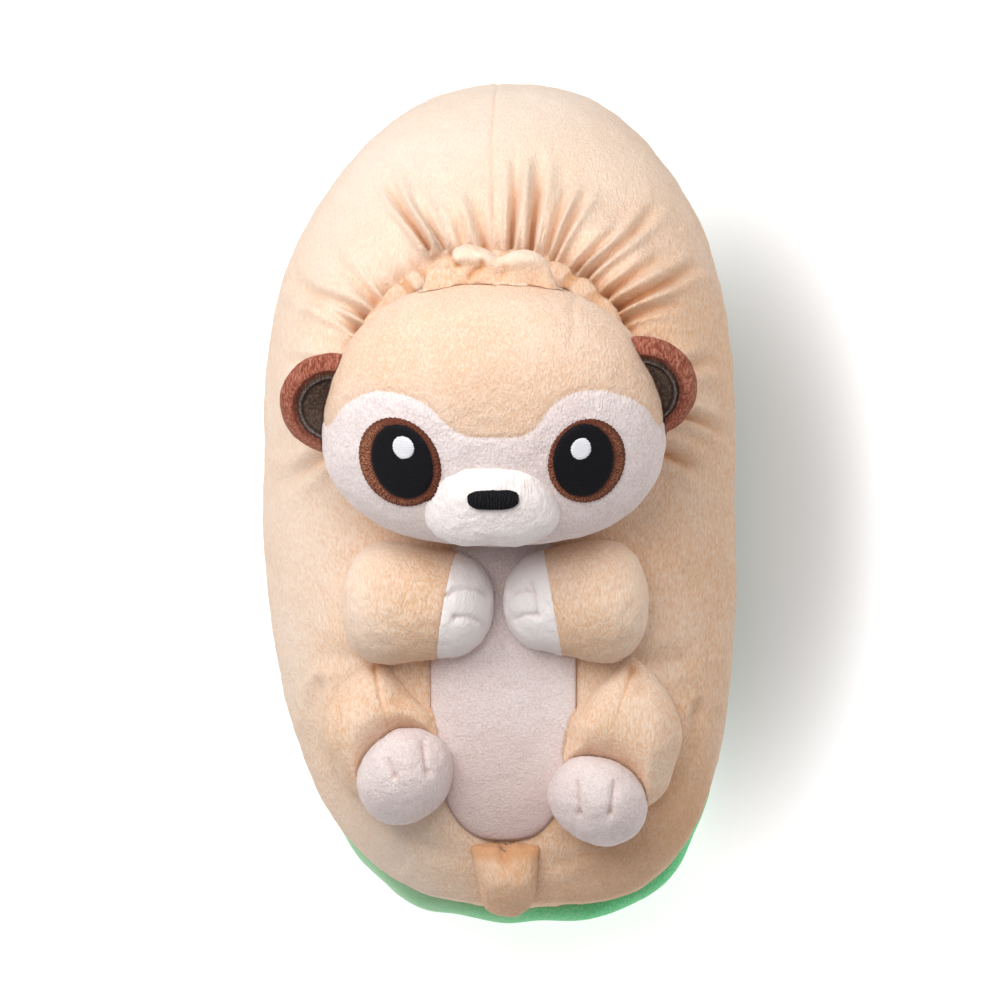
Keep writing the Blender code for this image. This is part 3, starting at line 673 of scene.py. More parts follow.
def sole_place(around, up):
    turn = around * math.tau
    toe = np.maximum(0, -np.sin(turn)) ** 2
    bottom, top = up < SOLE_UNDER, up > SOLE_OVER
    slope = ramp(up - SOLE_UNDER, SOLE_OVER - SOLE_UNDER) * math.pi - math.pi / 2
    wide = np.where(slope < 0, lerp(SOLE_ROUND, SOLE_ROUND_TOE, toe), SOLE_ROUND)
    round_in = 1 - dome(np.abs(np.sin(slope)), 2.6)
    lip = lerp(SOLE_LIP, SOLE_LIP_TOE, toe ** np.where(np.cos(turn) > 0, 2.2, 1.3))
    x, y = sole_skin.outline(turn, sole_skin.base_inset(turn) - lip + wide * round_in)
    share = np.where(bottom, up / SOLE_UNDER, np.where(top, (1 - up) / (1 - SOLE_OVER), 1))
    height = SOLE_THICKNESS / 2 * (1 + power(np.sin(slope), 1.15))
    height = np.where(bottom, 0, np.where(top, SOLE_THICKNESS, height))
    return np.stack((x * share, WIDEST_Y + (y - WIDEST_Y) * share, height), 1)


sole_mesh = wrapped("sole_green", 520, 80, sole_place)
points, ways = spots(sole_mesh)
side = ramp(1 - np.abs(ways[:, 2]) ** 2)
shift = 0.0004 * np.sin(31 * np.arctan2(points[:, 1], points[:, 0]))
shift += lumps(points, 11.0, (0.0007, 0.022), (0.0004, 0.007))
points += ways * (shift * side)[:, None]
points[:, 2] = np.clip(points[:, 2], 0, SOLE_THICKNESS)
place_piece(
    sole_mesh, plush("sole_green_plush", GREEN, lie=(1.0, 1.0, 0.5), pile=0.7),
    "plush_green", 1.0, "sole", points=points,
    # Painted shade at the top of its side, under the upper; painted light, paler towards its
    # outer side, nearer the lamps
    hollow=ramp(points[:, 2] - 0.0125, 0.004) * side,
    faded=0.85 * ramp(0.020 - points[:, 0], 0.055),
)

# ---- Insole ----
# A padded footbed of cream plush, loose inside the lining.

INSOLE_THICKNESS, INSOLE_ROUND, INSOLE_DIP = 0.006, 0.0015, 0.0010


def insole_place(around, up):
    turn = around * math.tau
    slope = ramp(up - 0.25, 0.25) * math.pi - math.pi / 2
    inset = lining_skin.base_inset(turn) + GAP + INSOLE_ROUND * (1 - np.cos(slope))
    x, y = lining_skin.outline(turn, inset)
    share = np.where(up < 0.25, up / 0.25, np.where(up > 0.5, (1 - up) / 0.5, 1))
    crown = (1 + np.sin(slope)) * INSOLE_THICKNESS / 2
    dip = np.where(up > 0.5, INSOLE_DIP * (1 - share) ** 0.5 * np.sin(share * math.pi), 0)
    return np.stack((x * share, WIDEST_Y + (y - WIDEST_Y) * share, SEAT + crown - dip), 1)


insole_mesh = wrapped("insole_cream", 240, 60, insole_place)
points, _ = spots(insole_mesh)
top = points[:, 2] > SEAT + INSOLE_THICKNESS / 2
points[:, 2] -= top * 0.0004 * (1 + rumple(points, 0.012, 21.0))
place_piece(insole_mesh, cream_plush, "lining_cream", 0.9, "insole", points=points, hollow=0)

# ---- Collar casing ----
# A narrow plush tube round the opening. The elastic inside it shortens it, so that it
# ruffles, and it pulls the upper into gathers.

CASING_WIDTH, CASING_HEIGHT, CASING_OUT = 0.0078, 0.0050, -0.0008
RUFFLES = 26


def ruffle_turn(turn):
    """The ruffles' own angle, which runs on unevenly round the collar."""
    return RUFFLES * (turn + 0.05 * np.sin(3 * turn + 1) + 0.03 * np.sin(8 * turn))


def casing_place(around, up):
    turn, angle = around * math.tau, up * math.tau
    ruffle = np.sin(ruffle_turn(turn)) + 0.9 * np.sin(23 * turn + 2)
    wide = CASING_WIDTH / 2 * (1 + 0.05 * ruffle)
    tall = CASING_HEIGHT / 2 * (1 + 0.07 * np.sin(ruffle_turn(turn) + 0.6))
    side = CASING_OUT + wide * power(np.cos(angle), 0.85)
    height = CASING_HEIGHT / 2 + GAP + tall * power(np.sin(angle), 0.9)
    edge = outer_skin.point(turn, np.ones_like(turn))
    return edge + np.stack((np.cos(turn) * side, np.sin(turn) * side, height), 1)


casing_mesh = wrapped("collar_ruffle", 760, 34, casing_place)
points, ways = spots(casing_mesh)
turn = rim_distance(points)[1]
pinch = ramp(-np.sin(ruffle_turn(turn) + 1.6 * rumple(points, 0.008, 31.0)))
pinch *= 0.6 + 0.4 * np.sin(9 * turn)
shift = -0.0008 * pinch + lumps(points, 32.0, (0.0007, 0.0060), (0.0003, 0.0025))
# The casing is painted darker all over and more in its pinches and dips: painted shade round the
# opening
resting.append(place_piece(
    casing_mesh, tan_plush, "plush_tan", 0.4, "collar_casing",
    points=settle(points + ways * shift[:, None]), hollow=0.28 + 0.55 * pinch - 200 * shift,
))

# ---- Belly panel ----
# A long oval of pale pink plush, sewn flat on the vamp, a little puffed by its seam.

PINK = ((0.865, 0.750, 0.738), (0.620, 0.420, 0.375), (0.930, 0.868, 0.868))
BELLY_PUFF, BELLY_STAND = 0.0016, 0.0003


def belly_place(around, up):
    across, along = np.cos(around * math.tau), np.sin(around * math.tau)
    size = np.minimum(up, 1 - up) * 2 / squared(across, along, BELLY_SQUARE)
    x = ANIMAL_SIDE + BELLY_WIDTH / 2 * across * size
    return np.stack((x, BELLY_Y + BELLY_LENGTH / 2 * along * size, up), 1)


belly_mesh = wrapped("belly_panel_pink", 200, 110, belly_place)
points, _ = spots(belly_mesh)
share = belly_share(points)
base = np.array([top_under(x, y, [plain_upper]) for x, y, _ in points.tolist()])
across = (points[:, 0] - ANIMAL_SIDE) / BELLY_WIDTH
along = (points[:, 1] - BELLY_Y) / BELLY_LENGTH
# The panel bridges the vamp's facets, so it lies on a smooth surface fitted to them
terms = np.stack([across**i * along**j for i in range(5) for j in range(8 - i)], 1)
even = terms @ np.linalg.lstsq(terms, base, rcond=None)[0]
puff = BELLY_PUFF * dome(share, 7)
puff += 0.0006 * rumple(points * (1, 1, 0), 0.020, 41.0) * (1 - share**4)
points[:, 2] = even + BELLY_STAND + np.where(points[:, 2] > 0.5, puff, 0)
# Painted shade: darker at its seam and towards its low end, which slopes down to the toe
painted_lighting = ramp(-along - 0.04, 0.42) * (1 - 0.35 * share**2)
pink_plush = plush("animal_pink_plush", PINK, lie=(1.0, 0.85, 1.0), sheen=0.12)
resting.append(place_piece(
    belly_mesh, pink_plush, "plush_pink", 0.2, "belly_panel", points=points,
    hollow=0.6 * ramp(share - 0.955, 0.045) + painted_lighting,
))

# ---- Head ----
# A stuffed ball of tan plush that leans back over the collar. The pale mask is its own
# cut piece, sewn in from cheek to cheek, and two darts shape the forehead.

HEAD_WIDTH, HEAD_TALL, HEAD_DEEP = 0.114, 0.092, 0.066
HEAD_CHEEKS, HEAD_SQUARE = 0.11, 2.3
HEAD_PITCH = math.radians(55)
HEAD_BEHIND_THROAT, HEAD_SIDE, HEAD_LIFT = 0.0165, 0.0023, 0.003
CROWN_FLAT = 0.955
MASK = (
    (-1.20, -0.06), (-1.0, -0.045), (-0.959, -0.01), (-0.865, 0.193), (-0.741, 0.326),
    (-0.626, 0.381), (-0.472, 0.375), (-0.356, 0.318), (-0.260, 0.205), (-0.185, 0.132),
    (-0.100, 0.100), (0.033, 0.094), (0.194, 0.106), (0.287, 0.192), (0.363, 0.317),
    (0.477, 0.388), (0.626, 0.388), (0.790, 0.290), (0.904, 0.150), (0.965, -0.010),
    (1.0, -0.045), (1.20, -0.06),
)
DARTS = (
    ((-0.540, 0.960), (-0.572, 0.830), (-0.560, 0.720)),
    ((0.430, 0.980), (0.482, 0.840), (0.478, 0.730)),
)
HEAD_TAN = ((0.810, 0.560, 0.405), (0.700, 0.420, 0.250), (0.905, 0.745, 0.620))
HEAD_FRONT = -0.010
NECK_HALF, NECK_FRONT = np.array((0.046, 0.032, 0.042)) / 2, 0.009

half_tall, half_deep = HEAD_TALL / 2, HEAD_DEEP / 2
drop = math.hypot(half_tall * math.cos(HEAD_PITCH), half_deep * math.sin(HEAD_PITCH))
head_middle = Vector((
    HEAD_SIDE, THROAT_Y + HEAD_BEHIND_THROAT, SEAT + THROAT_RISE + drop + HEAD_LIFT
))
head_frame = Matrix.Translation(head_middle) @ Matrix.Rotation(
    math.pi / 2 - HEAD_PITCH, 4, "X"
)
head_turn = np.array(head_frame.to_3x3())
HEAD_HALF = np.array((HEAD_WIDTH, HEAD_TALL, HEAD_DEEP)) / 2


def from_head(points):
    """Places in the head's own axes, brought to the slipper's."""
    return points @ head_turn.T + np.array(head_middle)


def to_head(points):
    return (points - np.array(head_middle)) @ head_turn


def ball_mesh(name, fineness, place):
    """An even ball whose vertices, as unit directions, are placed by a function."""
    bm = bmesh.new()
    bmesh.ops.create_icosphere(bm, subdivisions=fineness, radius=1)
    units = np.array([vertex.co.normalized() for vertex in bm.verts])
    for vertex, point in zip(bm.verts, place(units).tolist()):
        vertex.co = point
    return cloth_mesh(name, bm)


def head_place(unit):
    square = HEAD_SQUARE + 0.15 * np.maximum(0, -unit[:, 1])
    size = (np.abs(unit) ** square[:, None]).sum(1) ** (-1 / square)
    local = unit * size[:, None] * HEAD_HALF
    local[:, 0] *= 1 - HEAD_CHEEKS * unit[:, 1]
    local[:, 1] *= np.where(unit[:, 1] > 0, CROWN_FLAT, 1)
    return from_head(local)


head_mesh = ball_mesh("head_plush", 7, head_place)
points, ways = spots(head_mesh)
local = to_head(points)
face, front = local[:, :2], local[:, 2] > HEAD_FRONT
mask_line = smooth_line(MASK, 5) * HEAD_HALF[:2]
mask_gap, _ = from_line(face, mask_line)
mask_gap = np.where(front, mask_gap, np.hypot(mask_gap, local[:, 2] - HEAD_FRONT))
below = face[:, 1] < np.interp(face[:, 0], mask_line[:, 0], mask_line[:, 1])
shift = lumps(points, 51.0, (0.0007, 0.026), (0.00022, 0.007), (0.00016, 0.0030))
shift -= 0.0004 * bell(mask_gap, 0.0010)
# Painted shade along the mask's seam and in the forehead's darts
hollow = 0.16 * bell(mask_gap, 0.0006)
for line in DARTS:
    gap, _ = from_line(face, smooth_line(line) * HEAD_HALF[:2])
    gap = np.hypot(gap, 10 * (local[:, 2] < -0.012))
    shift -= 0.0004 * bell(gap, 0.0012)
    hollow += 0.20 * bell(gap, 0.0007)
head_plush = plush("head_tan_and_pink_plush", HEAD_TAN, second=PINK, lie=(1.0, 0.5, 0.7))
head_tree = place_piece(
    head_mesh, head_plush, "plush_tan", 0.95, "head",
    points=settle(points + ways * shift[:, None]),
    border=np.where(below & front, mask_gap, -mask_gap), hollow=hollow,
)


def neck_place(unit):
    height = SEAT + THROAT_RISE + NECK_HALF[2] / 2
    return unit * NECK_HALF + (HEAD_SIDE, THROAT_Y - NECK_FRONT, height)


neck_mesh = ball_mesh("neck_plush", 5, neck_place)
points = settle(spots(neck_mesh)[0])
# The neck, under the head, is painted a little darker all over: painted shade
place_piece(
    neck_mesh, head_plush, "plush_tan", 0.8, "head", points=points,
    border=0.0125 - np.abs(points[:, 0] - ANIMAL_SIDE), hollow=0.1,
)

# ---- Muzzle ----
# A separate stuffed pad of near-white plush, wider below, sewn on the mask.

MUZZLE_WIDTH, MUZZLE_TALL, MUZZLE_DEEP, MUZZLE_DROP = 0.0438, 0.0320, 0.029, 0.455
SEAM_SINK = 0.0006
MUZZLE_SQUARE = 2.35
WHITE = ((0.930, 0.850, 0.840), (0.740, 0.600, 0.570), (0.960, 0.920, 0.915))
muzzle_out = math.sqrt(1 - MUZZLE_DROP**2) * HEAD_DEEP / 2 - MUZZLE_DEEP * 0.1
muzzle_middle = np.array((0, -MUZZLE_DROP * HEAD_TALL / 2, muzzle_out))
MUZZLE_HALF = np.array((MUZZLE_WIDTH, MUZZLE_TALL, MUZZLE_DEEP)) / 2


def muzzle_place(unit):
    size = (np.abs(unit) ** MUZZLE_SQUARE).sum(1) ** (-1 / MUZZLE_SQUARE)
    local = unit * size[:, None] * MUZZLE_HALF
    local[:, 0] *= 1 - 0.20 * unit[:, 1]
    lobes = 0.0012 * bell(local[:, 0], 0.006) * ramp(-unit[:, 1])
    local[:, 2] -= lobes
    local[:, 1] += lobes * ramp(-unit[:, 1])
    return from_head(local + muzzle_middle)


muzzle_mesh = ball_mesh("muzzle_plush", 6, muzzle_place)
points, ways = spots(muzzle_mesh)
shift = lumps(points, 61.0, (0.0005, 0.012), (0.0002, 0.004), (0.00022, 0.0021))
points = press(points + ways * shift[:, None], head_tree, gap=-SEAM_SINK)
white_plush = plush("muzzle_white_plush", WHITE, sheen=0.12)
muzzle_tree = place_piece(
    muzzle_mesh, white_plush, "plush_pink", 0.9, "muzzle", points=settle(points), hollow=0
)

# ---- Nose and eyes ----
# Satin stitch in black, brown and white thread: an upright-stitched nose bar, and round
# eyes with a ring of radiating stitches about a raised black pupil with one glint.

# A thread's shaded and lit tones
BLACK = ((0.0045, 0.0043, 0.0055), (0.018, 0.017, 0.021))
BROWN_THREAD = ((0.130, 0.036, 0.022), (0.560, 0.250, 0.140))
WHITE_THREAD = ((0.74, 0.75, 0.80), (0.96, 0.97, 1.00))
THREAD_SHINE = 0.07
RING_RISE, PUPIL_RISE, GLINT_RISE, NOSE_RISE = 0.0008, 0.0005, 0.0003, 0.0019
THREAD_RISE = 0.00015
# The rays round an eye, and the radians of stitch rows a metre of pupil or nose holds
RAYS, ROWS, NOSE_ROWS = 92, 7500, 6800
NOSE = ((0.0011, -0.0147), (0.0084, 0.0030))
NOSE_SQUARE = 3.0
# Each eye's tilt, and the middles and half sizes of its ring, pupil and glint
EYES = {
    "outer": (
        0.10, ((-0.0300, -0.0066), (0.0137, 0.0164)),
        ((-0.0288, -0.0054), (0.0102, 0.0135)), ((-0.0282, 0.0004), (0.0034, 0.0040)),
    ),
    "inner": (
        0.04, ((0.0316, -0.0062), (0.0126, 0.0153)),
        ((0.0303, -0.0052), (0.0097, 0.0131)), ((0.0295, -0.0003), (0.0032, 0.0037)),
    ),
}


def on_face(face, trees):
    """Where places of the face, in the head's axes, meet the stuffed surface."""
    toward = -(head_frame.to_3x3() @ Vector((0, 0, 1)))
    found = []
    for x, y in face.tolist():
        start = head_frame @ Vector((x, y, 0.2))
        hits = [tree.ray_cast(start, toward) for tree in trees]
        best = min((hit for hit in hits if hit[0]), key=lambda hit: hit[3])
        found.append((*best[0], *best[1]))
    return np.array(found)


def oval(face, middle, half, tilt=0.0, square=2.0):
    """A place's share of an oval's reach, and the signed distance inside its edge."""
    x, y = face[:, 0] - middle[0], face[:, 1] - middle[1]
    x, y = x + tilt * y, y - tilt * x
    share = squared(x / half[0], y / half[1], square)
    return share, (1 - share) * np.hypot(x, y) / np.maximum(share, 1e-3)


def patch_mesh(name, middle, half, trees, rise, turns, rings, square=2.0, tilt=0.0):
    """A low pad on the face: an oval whose top stands off by rise(face)."""
    def place(around, up):
        turn = around * math.tau
        across, along = np.cos(turn), np.sin(turn)
        ragged = 1 + 0.010 * np.sin(turn * 53 + 2) + 0.008 * np.sin(turn * 87)
        size = np.minimum(up, 1 - up) * 2 * ragged / squared(across, along, square)
        x, y = across * size * half[0], along * size * half[1]
        x, y = x - tilt * y, y + tilt * x
        return np.stack((x + middle[0], y + middle[1], up), 1)

    mesh = wrapped(name, turns, rings, place)
    flat, _ = spots(mesh)
    base = on_face(flat[:, :2], trees)
    lift = np.where(flat[:, 2] > 0.5, rise(flat[:, :2]), 0) + GAP
    put(mesh, base[:, :3] + base[:, 3:] * lift[:, None])
    note(mesh, across=flat[:, 0], along=flat[:, 1])
    return mesh, flat[:, :2]


def thread_material(name, tones, marks, stitches):
    """Satin stitch: tones are pairs of a thread's shaded and lit colours, the lit one a painted
    gloss on each stitch; marks are the borders between them.
    """
    material, shade = new_material(name)
    place = shade.object_place()
    stitch = stitches(shade, place)
    painted_gloss = stitch.between(0.25, 0.75) * 0.85
    colour = shade.colour(tones[0][0]).tint(tones[0][1], painted_gloss)
    # Darker where the piece notes an edge: the eye ring's own dark thread at its rims, and
    # painted shade on its side away from the light
    colour = colour.tint(tones[0][0], shade.attribute("edge") * 0.85)
    for mark, (dark, light) in zip(marks, tones[1:]):
        edge = shade.attribute(mark) + (stitch - 0.5) * 0.0013
        colour = colour.tint(shade.colour(dark).tint(light, painted_gloss), edge.between(-0.0001, 0.0001))
    fuzz = place.cloud(2400.0, 2.0)
    normal = shade.relief(stitch + 0.3 * fuzz, 0.00045, 0.9)
    shine = {"Specular IOR Level": THREAD_SHINE}
    return finish_material(material, colour, 0.50 + 0.25 * fuzz, normal, shine)


def ring_stitches(shade, place):
    """Strokes that run out from the pupil on the ring, and side by side on the pupil."""
    wobble = place.cloud(700.0, 2.0)
    rays = (shade.attribute("around") * (math.tau * RAYS) + wobble * 14).sine() * 0.40
    rays = rays + place.cloud(1500.0, 3.0) * 3.4 - 1.7
    rows = (shade.attribute("along") * ROWS + wobble * 9).sine() * 0.12
    inside = shade.attribute("pupil").between(-0.0002, 0.0002)
    return (rays * (1 - inside) + rows * inside) * 0.5 + 0.5


def bar_stitches(shade, place):
    """Upright strokes, side by side along the nose."""
    wobble = place.cloud(600.0, 2.0) * 9
    return (shade.attribute("across") * NOSE_ROWS + wobble).sine() * 0.22 + 0.5


for label, (tilt, ring, pupil, glint) in EYES.items():
    def eye_parts(face, tilt=tilt, ring=ring, pupil=pupil, glint=glint):
        """The share of the ring, and the distances inside the pupil and the glint."""
        return oval(face, *ring, tilt)[0], oval(face, *pupil, tilt)[1], oval(face, *glint)[1]

    def eye_rise(face, parts=eye_parts):
        rim, in_pupil, in_glint = parts(face)
        height = RING_RISE * dome(rim, 6) + THREAD_RISE
        return height + PUPIL_RISE * ramp(in_pupil, 0.0010) + GLINT_RISE * ramp(in_glint, 0.0006)

    eye_mesh, face = patch_mesh(
        f"eye_{label}_thread", *ring, [head_tree, muzzle_tree], eye_rise, 180, 64, tilt=tilt
    )
    rim, in_pupil, in_glint = eye_parts(face)
    # The ring's own thread is darker at its rim and by the pupil; it is also painted lighter
    # towards its lower left and darker elsewhere, a painted highlight and painted shade
    dark_edge = bell(rim - 1, 0.07) + bell(in_pupil, 0.0008)
    lit = ramp((face - ring[0]) / ring[1] @ (-0.95, -0.35))
    edge = ramp(dark_edge * (1 - 0.5 * lit) + 0.40 * (1 - lit))
    eye_thread = thread_material(
        f"eye_{label}_stitches", (BROWN_THREAD, BLACK, WHITE_THREAD), ("pupil", "glint"),
        ring_stitches,
    )
    place_piece(
        eye_mesh, eye_thread, "thread_black", 0.3, "eye_" + label,
        edge=edge, pupil=in_pupil, glint=in_glint,
    )


def nose_rise(face):
    share, _ = oval(face, *NOSE, square=NOSE_SQUARE)
    return NOSE_RISE * dome(share, 4) + 0.0002


nose_mesh, _ = patch_mesh(
    "nose_thread", *NOSE, [muzzle_tree, head_tree], nose_rise, 160, 50, NOSE_SQUARE
)
nose_thread = thread_material("nose_stitches", (BLACK,), (), bar_stitches)
place_piece(nose_mesh, nose_thread, "thread_black", 0.5, "nose")

# ---- Ears ----
# Round brown plush ears with a stuffed rim; a dark lining with a corded edge is set in
# the hollow of each.

EAR_WIDTH, EAR_TALL, EAR_THICK = 0.0365, 0.0365, 0.011
EAR_LINING_SHARE = 0.68
EARS = {"outer": (-0.94, 0.05), "inner": (0.872, 0.175)}
BROWN = ((0.30, 0.078, 0.046), (0.085, 0.016, 0.010), (0.66, 0.300, 0.200))
DARK = ((0.055, 0.032, 0.022), (0.013, 0.008, 0.006), (0.150, 0.105, 0.080))
CORD = ((0.105, 0.080, 0.075), (0.030, 0.022, 0.020), (0.26, 0.21, 0.21))
EAR_HALF = np.array((EAR_WIDTH, EAR_TALL, EAR_THICK)) / 2
LINING_HALF, LINING_RISE, CORD_RISE = EAR_HALF[:2] * EAR_LINING_SHARE, 0.0006, 0.0009
EAR_SWELL, EAR_DISH = 0.35, 0.0028
brown_plush = plush("ear_brown_plush", BROWN, pile=1.2, sheen=0.18)
dark_cloth = plush("ear_lining_dark", DARK, CORD, pile=0.8, sheen=0.10)


def beside_head(points, side):
    """Moves what would sink into the head straight out to its side."""
    local = to_head(points)
    inward = head_frame.to_3x3() @ Vector((-side, 0, 0))
    for index, (x, y, z) in enumerate(local.tolist()):
        start = head_frame @ Vector((side * 0.1, y, z))
        spot = head_tree.ray_cast(start, inward)[0]
        if spot:
            reach = (head_frame.inverted() @ spot).x + side * GAP
            local[index, 0] = max(x * side, reach * side) * side
    return from_head(local)


for label, (spread, lift) in EARS.items():
    middle = np.array((spread * HEAD_WIDTH / 2, lift * HEAD_TALL / 2, 0))

    def ear_place(unit, middle=middle):
        local = unit * EAR_HALF
        reach = np.hypot(unit[:, 0], unit[:, 1])
        local[:, 2] *= 1 + EAR_SWELL * bell(reach - 0.86, 0.16)
        dish = EAR_DISH * ramp(1 - (reach / 0.74) ** 2) ** 0.6
        local[:, 2] -= np.where(unit[:, 2] > 0, dish, 0)
        return from_head(local + middle)

    side = math.copysign(1, spread)
    ear_mesh = ball_mesh(f"ear_{label}_plush", 6, ear_place)
    points, ways = spots(ear_mesh)
    shift = lumps(points, 71.0, (0.0004, 0.008), (0.0002, 0.003))
    put(ear_mesh, points + ways * shift[:, None])
    ear_tree = tree_of(ear_mesh)
    points = beside_head(spots(ear_mesh)[0], side)
    reach = np.hypot(*((to_head(points) - middle)[:, :2] / EAR_HALF[:2]).T)
    # Painted shade where the stuffed rim meets the dish
    place_piece(
        ear_mesh, brown_plush, "plush_brown", 0.5, "ear_" + label, points=points,
        hollow=0.8 * bell(reach - 0.72, 0.06),
    )

    def lining_rise(face, middle=middle):
        share, _ = oval(face, middle, LINING_HALF)
        return LINING_RISE * dome(share, 8) + CORD_RISE * bell(share - 0.93, 0.055)

    lining_mesh, face = patch_mesh(
        f"ear_{label}_lining", middle, LINING_HALF, [ear_tree], lining_rise, 120, 52
    )
    share, _ = oval(face, middle, LINING_HALF)
    # Painted shade just inside the corded edge
    place_piece(
        lining_mesh, dark_cloth, "plush_dark_brown", 0.2, "ear_lining_" + label,
        points=beside_head(spots(lining_mesh)[0], side),
        border=0.0006 - np.abs(share - 0.92) * EAR_WIDTH / 2, hollow=bell(share - 0.83, 0.035),
    )

# ---- Hair tuft ----
# A strip of tan plush, folded over on itself and sewn to the crown: a small curl on one
# side, then two rounded locks with a dip between them.

TUFT_WIDTH, TUFT_TALL, TUFT_THICK, TUFT_SINK = 0.0445, 0.0092, 0.0066, 0.013
TUFT_BACK, TUFT_ASIDE = 0.0064, -0.0007
TUFT_ROLL = 0.0014
TUFT_TOP = (
    (-0.500, 0.25), (-0.487, 0.56), (-0.440, 0.66), (-0.345, 0.68), (-0.300, 0.68),
    (-0.275, 0.83), (-0.230, 0.95), (-0.140, 1.02), (-0.044, 0.95), (0.050, 0.83),
    (0.130, 0.86), (0.230, 0.91), (0.340, 0.86), (0.430, 0.70), (0.480, 0.48), (0.500, 0.28),
)
TUFT_FOLDS = (
    (((-0.280, 0.66), (-0.265, 0.50), (-0.235, 0.42)), 0.0014, 0.0009),
    (((-0.050, 0.62), (-0.060, 0.42), (-0.120, 0.20), (-0.150, 0.02)), 0.0012, 0.0012),
    (((0.100, 0.10), (0.125, 0.30), (0.115, 0.48)), 0.0005, 0.0016),
)
tuft_top = smooth_line(TUFT_TOP, 6)


def tuft_place(across, up):
    x = across - 0.5
    angle = up * math.tau
    tall = (TUFT_TALL + TUFT_SINK) * np.interp(x, tuft_top[:, 0], tuft_top[:, 1])
    thick = TUFT_THICK / 2 * power(np.cos(angle), 0.6)
    thick = thick * np.sqrt(np.maximum(0, 1 - (2 * x) ** 8))
    rise = tall * (1 + power(np.sin(angle), 0.7)) / 2
    wave = 0.0010 * np.sin(x * 9 + 0.9)
    side = x * TUFT_WIDTH + TUFT_ASIDE
    local = np.stack((side, HEAD_TALL / 2 - TUFT_SINK + rise, thick + wave - TUFT_BACK), 1)
    return from_head(local)


tuft_mesh = wrapped("hair_tuft_plush", 170, 96, tuft_place)
points, ways = spots(tuft_mesh)
local = to_head(points)
local[:, 0] -= TUFT_ASIDE
high = local[:, 1] - HEAD_TALL / 2
creased = np.zeros(len(points))
for line, depth, width in TUFT_FOLDS:
    line = smooth_line([(x * TUFT_WIDTH, y * TUFT_TALL) for x, y in line])
    gap, _ = from_line(np.stack((local[:, 0], high), 1), line)
    creased -= depth * bell(gap, width)
top_edge = np.interp(local[:, 0] / TUFT_WIDTH, tuft_top[:, 0], tuft_top[:, 1]) * TUFT_TALL
# Painted light turns the rolled rim pale; painted shade deepens the folds, the part below the rim
# on its left, and the whole tuft a little
rim = bell(top_edge - high - 0.0015, 0.0022)
flat = bell(top_edge - high - 0.0056, 0.0020) * ramp(1 - local[:, 0] / 0.012)
shift = creased + TUFT_ROLL * rim - 0.0004 * flat + 0.0003 * rumple(points, 0.006, 81.0)
hollow = ramp(-creased, 0.0018) + 0.12 * (1 - rim) * ramp(1 - local[:, 0] / 0.01) + 0.18
place_piece(
    tuft_mesh, tan_plush, "plush_tan", 0.4, "hair_tuft",
    points=press(points + ways * shift[:, None], head_tree, reach=0.01),
    faded=0.55 * rim, hollow=hollow,
)

# ---- Arms ----
# Two plump stuffed arms that lie across the chest, each a tan sleeve with a pale paw
# sewn on at the cuff; short lines of stitches draw the fingers in.

ARM_ALONG = 0.324
ARMS = {
    "outer": {
        "side": -1, "shoulder": -0.362, "hand": -0.144, "cuff": -0.177,
        "hand_radius": 0.0139, "hand_drop": 0.0016,
        "fingers": (
            ((-0.0135, -0.0468), (-0.0107, -0.0449), (-0.0055, -0.0440), (-0.0008, -0.0452)),
            ((-0.0113, -0.0546), (-0.0065, -0.0540), (-0.0018, -0.0556)),
        ),
        "dents": ((-0.0135, -0.0472), (-0.0116, -0.0546)),
    },
    "inner": {
        "side": 1, "shoulder": 0.394, "hand": 0.203, "cuff": 0.254,
        "hand_radius": 0.0132, "hand_drop": 0.0,
        "fingers": (
            ((0.0076, -0.0458), (0.0110, -0.0450), (0.0146, -0.0453)),
            ((0.0084, -0.0542), (0.0120, -0.0533), (0.0158, -0.0536)),
            ((0.0138, -0.0420), (0.0153, -0.0470), (0.0160, -0.0530)),
        ),
        "dents": ((0.0148, -0.0458), (0.0160, -0.0538)),
    },
}
ARM_SHOULDER_RADIUS, ARM_HAND_RADIUS, ARM_STAND = 0.0210, 0.0147, 0.0065
CUFF_SLANT = math.radians(10)
ARM_UP, ARM_PLUMP, HAND_SHORT = 0.0034, 1.13, 0.0020
SEAM_GAP = -0.00035
ARM_SQUARE = 2.35


def vamp_place(across, along, rise=0.0):
    """A place over the plain vamp, found along the upper's own meridians."""
    x, y = across * outer_skin.half_width, lerp(THROAT_Y, TOE_Y, along)
    low, high = -math.pi / 2, (math.pi / 2 if x > 0 else -math.pi * 3 / 2)
    for _ in range(40):
        turn = np.array([(low + high) / 2])
        level = outer_skin.point(turn, np.zeros(1))[0]
        edge = outer_skin.point(turn, np.ones(1))[0]
        inward = min(1, max(0, (y - level[1]) / (edge[1] - level[1])))
        beyond = abs(lerp(level, edge, inward)[0]) > abs(x) or level[1] > y
        low, high = (low, turn[0]) if beyond else (turn[0], high)
    spot = outer_skin.point(turn, np.array([math.acos(1 - inward) / (math.pi / 2)]))[0]
    return Vector(spot) + Vector((0, 0, rise))


def rounded(share, start_radius, end_radius, length):
    """Half width of a tapered sausage of this length whose two ends are round."""
    near, far = share * length / start_radius, (1 - share) * length / end_radius
    end = np.minimum(1, np.minimum(near, far))
    round_end = np.maximum(0, 1 - (1 - end) ** ARM_SQUARE) ** (1 / ARM_SQUARE)
    return lerp(start_radius, end_radius, share) * round_end


def tuck(points, trees, gap=GAP):
    """Lowers what would stand up through pieces that lie over it."""
    tucked = points.copy()
    for index, (x, y, z) in enumerate(points.tolist()):
        found = [tree.ray_cast(Vector((x, y, 0)), Vector((0, 0, 1)))[0] for tree in trees]
        over = min([spot.z for spot in found if spot], default=1.0)
        tucked[index, 2] = min(z, over - gap)
    return tucked


